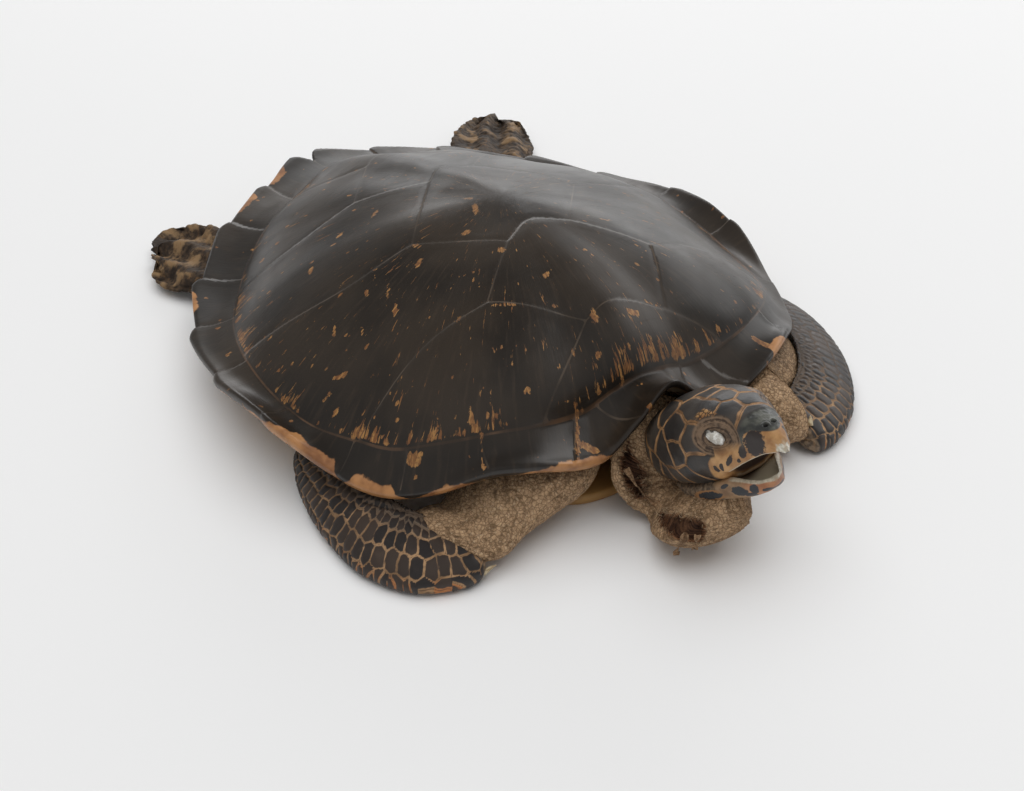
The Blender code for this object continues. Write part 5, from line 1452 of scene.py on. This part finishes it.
jaw_horn = build_jaw_horn()
jaw = ring_piece("lower_jaw_horn", into_world(shaped), jaw_horn, mark=marks_field(f, u, JAW_MARKS),
                 skin=jaw_skin, rim=rim_line, hollow=step_up(trough, 0.15, 0.45), tip=tip, pale=pale_floor)
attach(jaw, "root")
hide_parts("lower_jaw")

gullet = Finish("mouth_lining", Roughness=0.6)
folds = gullet.noise(300.0, detail=3.0)
gullet.shade(Base_Color=gullet.mix(folds, (0.012, 0.007, 0.005), (0.060, 0.032, 0.020)),
             Normal=gullet.bump(folds, 0.0005, 0.6))
rings, _ = section_rings(LINING_SECTIONS, LINING_STEP, LINING_SIDES)
lining = ring_piece("mouth_lining", into_world(rings), gullet.material)
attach(lining, "root")

# ---- Neck --------------------------------------------------------------------------------------------
# Loose neck and throat skin, dried into a wrinkled pouch under the jaw. It is torn open behind the cheek
# and at the throat, where brown fibres show and scraps of skin hang.
NECK_SIDES = 230
# forward, sideways middle, middle height, half width, rise, drop
NECK_SECTIONS = (
    (0.118, 0.000, 0.046, 0.0230, 0.018, 0.020), (0.150, 0.000, 0.045, 0.0262, 0.024, 0.026),
    (0.180, -0.001, 0.040, 0.0270, 0.029, 0.034), (0.198, -0.006, 0.036, 0.0335, 0.033, 0.0345),
    (0.217, -0.011, 0.035, 0.0360, 0.034, 0.0325), (0.235, -0.013, 0.031, 0.0345, 0.030, 0.0262),
    (0.252, -0.013, 0.029, 0.0290, 0.024, 0.0215), (0.264, -0.011, 0.031, 0.0170, 0.014, 0.0145),
    (0.271, -0.006, 0.034, 0.0060, 0.005, 0.0080))
# in the head's frame: where the skin dives into the back of the head and between the jaw's sides
HEAD_MEETS_SKIN, JAW_MEETS_SKIN, HIDDEN_HEIGHT = (-0.016, 0.002), (-0.029, -0.0165), -0.012
# the tears, drawn as seen from the right front and above: mm to the right and up from a point of the neck
TEAR_ORIGIN = (-0.0336, -0.2095, 0.0338)
TEAR_AZIMUTH, TEAR_ELEVATION = math.radians(-36.3), math.radians(37.5)
TEARS = (((-1, 22), (-5, 14), (-6, 5.5), (-4, -1), (0, -7.5), (3, -11.5), (9, -11.5), (9, -5.5), (7.5, -1),
          (9, 3.5), (6, 7.5), (2, 13), (0.5, 18.5)),
         ((13.7, -17), (17.5, -16.5), (21, -17), (30.5, -19), (36, -21), (38, -24), (37.5, -29.5),
          (35, -33.5), (29.5, -33), (23.5, -31.5), (16.5, -27.5), (13.5, -23)))
TEAR_DEPTH, LIP_HEIGHT = 0.0060, 0.0012


def into_head(points):
    """The head's own forward, sideways and up of world points."""
    turn = np.array(HEAD_POSE.to_3x3())
    local = (points - np.array(HEAD_POSE.translation)) @ turn
    return np.stack([-local[..., 1], local[..., 0], local[..., 2]], -1)


rings, turn = section_rings(NECK_SECTIONS, SKIN_STEP, NECK_SIDES)
points = np.stack([rings[..., 1], -rings[..., 0], rings[..., 2]], 2)
local = into_head(points)
f, s, u = np.moveaxis(local, -1, 0)
jaw_half = along_sections(f, JAW_SECTIONS, 2)
hidden = step_up(f, *HEAD_MEETS_SKIN) * step_up(u, *JAW_MEETS_SKIN)
s = s + (np.clip(s, -0.65 * jaw_half, 0.65 * jaw_half) - s) * hidden
u = u + (HIDDEN_HEIGHT - u) * hidden
points = into_world(np.stack([f, s, u], 2))
view = np.array(((math.cos(TEAR_AZIMUTH), math.sin(TEAR_AZIMUTH), 0),
                 (-math.sin(TEAR_AZIMUTH) * math.sin(TEAR_ELEVATION),
                  math.cos(TEAR_AZIMUTH) * math.sin(TEAR_ELEVATION), math.cos(TEAR_ELEVATION)),
                 (math.sin(TEAR_AZIMUTH) * math.cos(TEAR_ELEVATION),
                  -math.cos(TEAR_AZIMUTH) * math.cos(TEAR_ELEVATION), math.sin(TEAR_ELEVATION))))
seen = (points - np.array(TEAR_ORIGIN)) @ view.T * 1000
facing = (ring_normals(points) @ view[2]) > -0.05
visible = facing & (points[..., 0] < 0.004)
torn, depth, lip = (np.zeros(facing.shape) for _ in range(3))
flat_seen = seen.reshape(-1, 3)
ragged = ripple(points, 0.0035, 81, 3) * 0.9
for outline in TEARS:
    loop = curve([*outline, outline[0]], 0.5)[:-1]
    within = inside(flat_seen[:, :2], loop).reshape(facing.shape)
    edge = distance_to(flat_seen[:, :2], loop).reshape(facing.shape)
    signed = np.where(within, edge, -edge) + ragged
    torn = np.maximum(torn, step_up(signed, -0.1, 0.5) * visible)
    depth = np.maximum(depth, step_up(signed, 0.0, 3.0) * visible)
    lip = np.maximum(lip, np.exp(-((signed + 0.9) / 0.7) ** 2) * visible)
gouge = ripple(points, 0.003, 83, 3)
push = -TEAR_DEPTH * depth * (1 + 0.35 * gouge) + LIP_HEIGHT * lip
neck = skin_piece("neck_skin", points, turn, 0.0030, 0.00055, 85, "neck", torn=torn, deep=depth,
                  shift=push[..., None] * view[2])

# short dried fibres stand along the edges of the tears
FIBRE_LENGTH, FIBRE_WIDTH, FIBRES_PER_SQUARE_METRE = 0.0026, 0.00022, 420000.0


def fibre_tree():
    """Geometry Nodes: tapered fibres scattered over the faces of a torn edge."""
    tree = bpy.data.node_groups.new("torn_fibres", "GeometryNodeTree")
    tree.interface.new_socket("Geometry", in_out="INPUT", socket_type="NodeSocketGeometry")
    for label in ("Fibre Length", "Fibre Width", "Density"):
        tree.interface.new_socket(label, in_out="INPUT", socket_type="NodeSocketFloat")
    tree.interface.new_socket("Seed", in_out="INPUT", socket_type="NodeSocketInt")
    tree.interface.new_socket("Material", in_out="INPUT", socket_type="NodeSocketMaterial")
    tree.interface.new_socket("Geometry", in_out="OUTPUT", socket_type="NodeSocketGeometry")
    nodes = {key: tree.nodes.new(kind) for key, kind in (
        ("given", "NodeGroupInput"), ("points", "GeometryNodeDistributePointsOnFaces"),
        ("fibre", "GeometryNodeMeshCone"), ("lean", "FunctionNodeRandomValue"),
        ("turned", "FunctionNodeRotateRotation"), ("size", "FunctionNodeRandomValue"),
        ("placed", "GeometryNodeInstanceOnPoints"), ("real", "GeometryNodeRealizeInstances"),
        ("finish", "GeometryNodeSetMaterial"), ("made", "NodeGroupOutput"))}
    nodes["fibre"].inputs["Vertices"].default_value = 5
    nodes["lean"].data_type = "FLOAT_VECTOR"
    lean, size = nodes["lean"].inputs, nodes["size"].inputs
    lean[0].default_value, lean[1].default_value = (-1.2, -1.2, 0), (1.2, 1.2, 6.3)
    size[2].default_value, size[3].default_value = 0.4, 1.3
    for start, out, end, into in (
            ("given", "Geometry", "points", "Mesh"), ("given", "Density", "points", "Density"),
            ("given", "Seed", "points", "Seed"), ("given", "Fibre Length", "fibre", "Depth"),
            ("given", "Fibre Width", "fibre", "Radius Bottom"), ("points", "Points", "placed", "Points"),
            ("points", "Rotation", "turned", "Rotation"), ("turned", "Rotation", "placed", "Rotation"),
            ("fibre", "Mesh", "placed", "Instance"), ("placed", "Instances", "real", "Geometry"),
            ("real", "Geometry", "finish", "Geometry"), ("given", "Material", "finish", "Material"),
            ("finish", "Geometry", "made", "Geometry")):
        tree.links.new(nodes[start].outputs[out], nodes[end].inputs[into])
    tree.links.new(nodes["lean"].outputs[0], nodes["turned"].inputs["Rotate By"])
    tree.links.new(nodes["size"].outputs[1], nodes["placed"].inputs["Scale"])
    return tree


fibre_finish = Finish("torn_fibre", Roughness=0.7)
fibre_tone = fibre_finish.noise(220.0, detail=2.0)
fibre_colour = fibre_finish.mix(fibre_tone.over(0.35, 0.65), (0.10, 0.045, 0.022), (0.46, 0.34, 0.21))
fibre_finish.shade(Base_Color=fibre_colour)
edge_share = np.array([value.value for value in neck.data.attributes["torn"].data])
edge_faces = [list(face.vertices) for face in neck.data.polygons
              if 0.05 < edge_share[list(face.vertices)].mean() < 0.95]
edge_points = [tuple(vert.co) for vert in neck.data.vertices]
torn_edge = make_piece("torn_edge", edge_points, edge_faces, fibre_finish.material)
tree = fibre_tree()
grower = torn_edge.modifiers.new("fibres", "NODES")
grower.node_group = tree
settings = {"Fibre Length": FIBRE_LENGTH, "Fibre Width": FIBRE_WIDTH, "Density": FIBRES_PER_SQUARE_METRE,
            "Seed": 7, "Material": fibre_finish.material}
for item in tree.interface.items_tree:
    if item.item_type == "SOCKET" and item.in_out == "INPUT" and item.name in settings:
        grower[item.identifier] = settings[item.name]
shape = bpy.data.meshes.new_from_object(torn_edge.evaluated_get(bpy.context.evaluated_depsgraph_get()))
torn_edge.modifiers.remove(grower)
bpy.data.objects.remove(torn_edge)
fibres = bpy.data.objects.new("neck_fibres", shape)
scene.collection.objects.link(fibres)
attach(fibres, "root")

# Two scraps of skin hang from the lower tear, and a curled strip crosses between the tears.
# each scrap: places along it, seen as the tears are, then half width and how far it stands off, in mm
SCRAPS = ((((27, -27), (25.5, -31), (24.0, -35), (22.5, -38), (24.0, -40)), 2.1, 1.9),
          (((33, -28), (32.5, -32), (32.5, -35), (31.0, -37)), 1.7, 1.9),
          (((-3, 6), (2, -2), (8, -9), (15, -14.5), (22, -16), (28, -18)), 1.9, 2.2))
SCRAP_THICKNESS, SCRAP_ROWS, SCRAP_COLUMNS = 0.0005, 26, 7


def surface_under(place):
    """The neck's own point that shows at a place of the tears' drawing."""
    facing_points = seen[facing]
    gaps = np.linalg.norm(facing_points[:, :2] - place, axis=1)
    front = facing_points[gaps < gaps.min() + 0.8]
    return front[front[:, 2].argmax(), 2]


for number, (way, half, off) in enumerate(SCRAPS):
    path = spline(way, SCRAP_ROWS)
    out = np.array([surface_under(place) for place in path]) + off
    hanging = path[:, 1] < path[:, 1].max() - 4
    out[hanging] = np.minimum.accumulate(out)[hanging]
    heading = np.gradient(path, axis=0)
    heading /= np.linalg.norm(heading, axis=1)[:, None]
    normal = np.stack([-heading[:, 1], heading[:, 0]], 1)
    t = np.linspace(0, 1, len(path))
    curl = np.linspace(-1, 1, SCRAP_COLUMNS)
    width = half * (0.55 + 0.45 * np.sin(t * 9 + number)) * np.minimum(1, 6 * (1 - t) + 0.2)
    grid = path[:, None] + normal[:, None] * (curl[None, :, None] * width[:, None, None])
    lifted = out[:, None] + 0.9 * curl[None] ** 2 * width[:, None]
    drawn = np.concatenate([grid, lifted[..., None]], 2) / 1000
    sheet = drawn @ view + np.array(TEAR_ORIGIN)
    sheet += 0.0005 * ripple(sheet, 0.003, 90 + number)[..., None]
    corners = [i * SCRAP_COLUMNS + k for i in range(SCRAP_ROWS - 1) for k in range(SCRAP_COLUMNS - 1)]
    faces = [(a, a + 1, a + SCRAP_COLUMNS + 1, a + SCRAP_COLUMNS) for a in corners]
    flat = sheet.reshape(-1, 3)
    along = np.repeat(t * 0.02, SCRAP_COLUMNS)
    scrap = make_piece(f"skin_scrap_{number + 1}", flat, faces, leather,
                       strand=np.stack([along, np.tile(curl * half / 1000, SCRAP_ROWS), 0 * along], 1),
                       fold=0 * along, torn=0.35 + 0 * along, depth=0 * along)
    wall = scrap.modifiers.new("thickness", "SOLIDIFY")
    wall.thickness, wall.offset = SCRAP_THICKNESS, 0.0
    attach(scrap, "root")
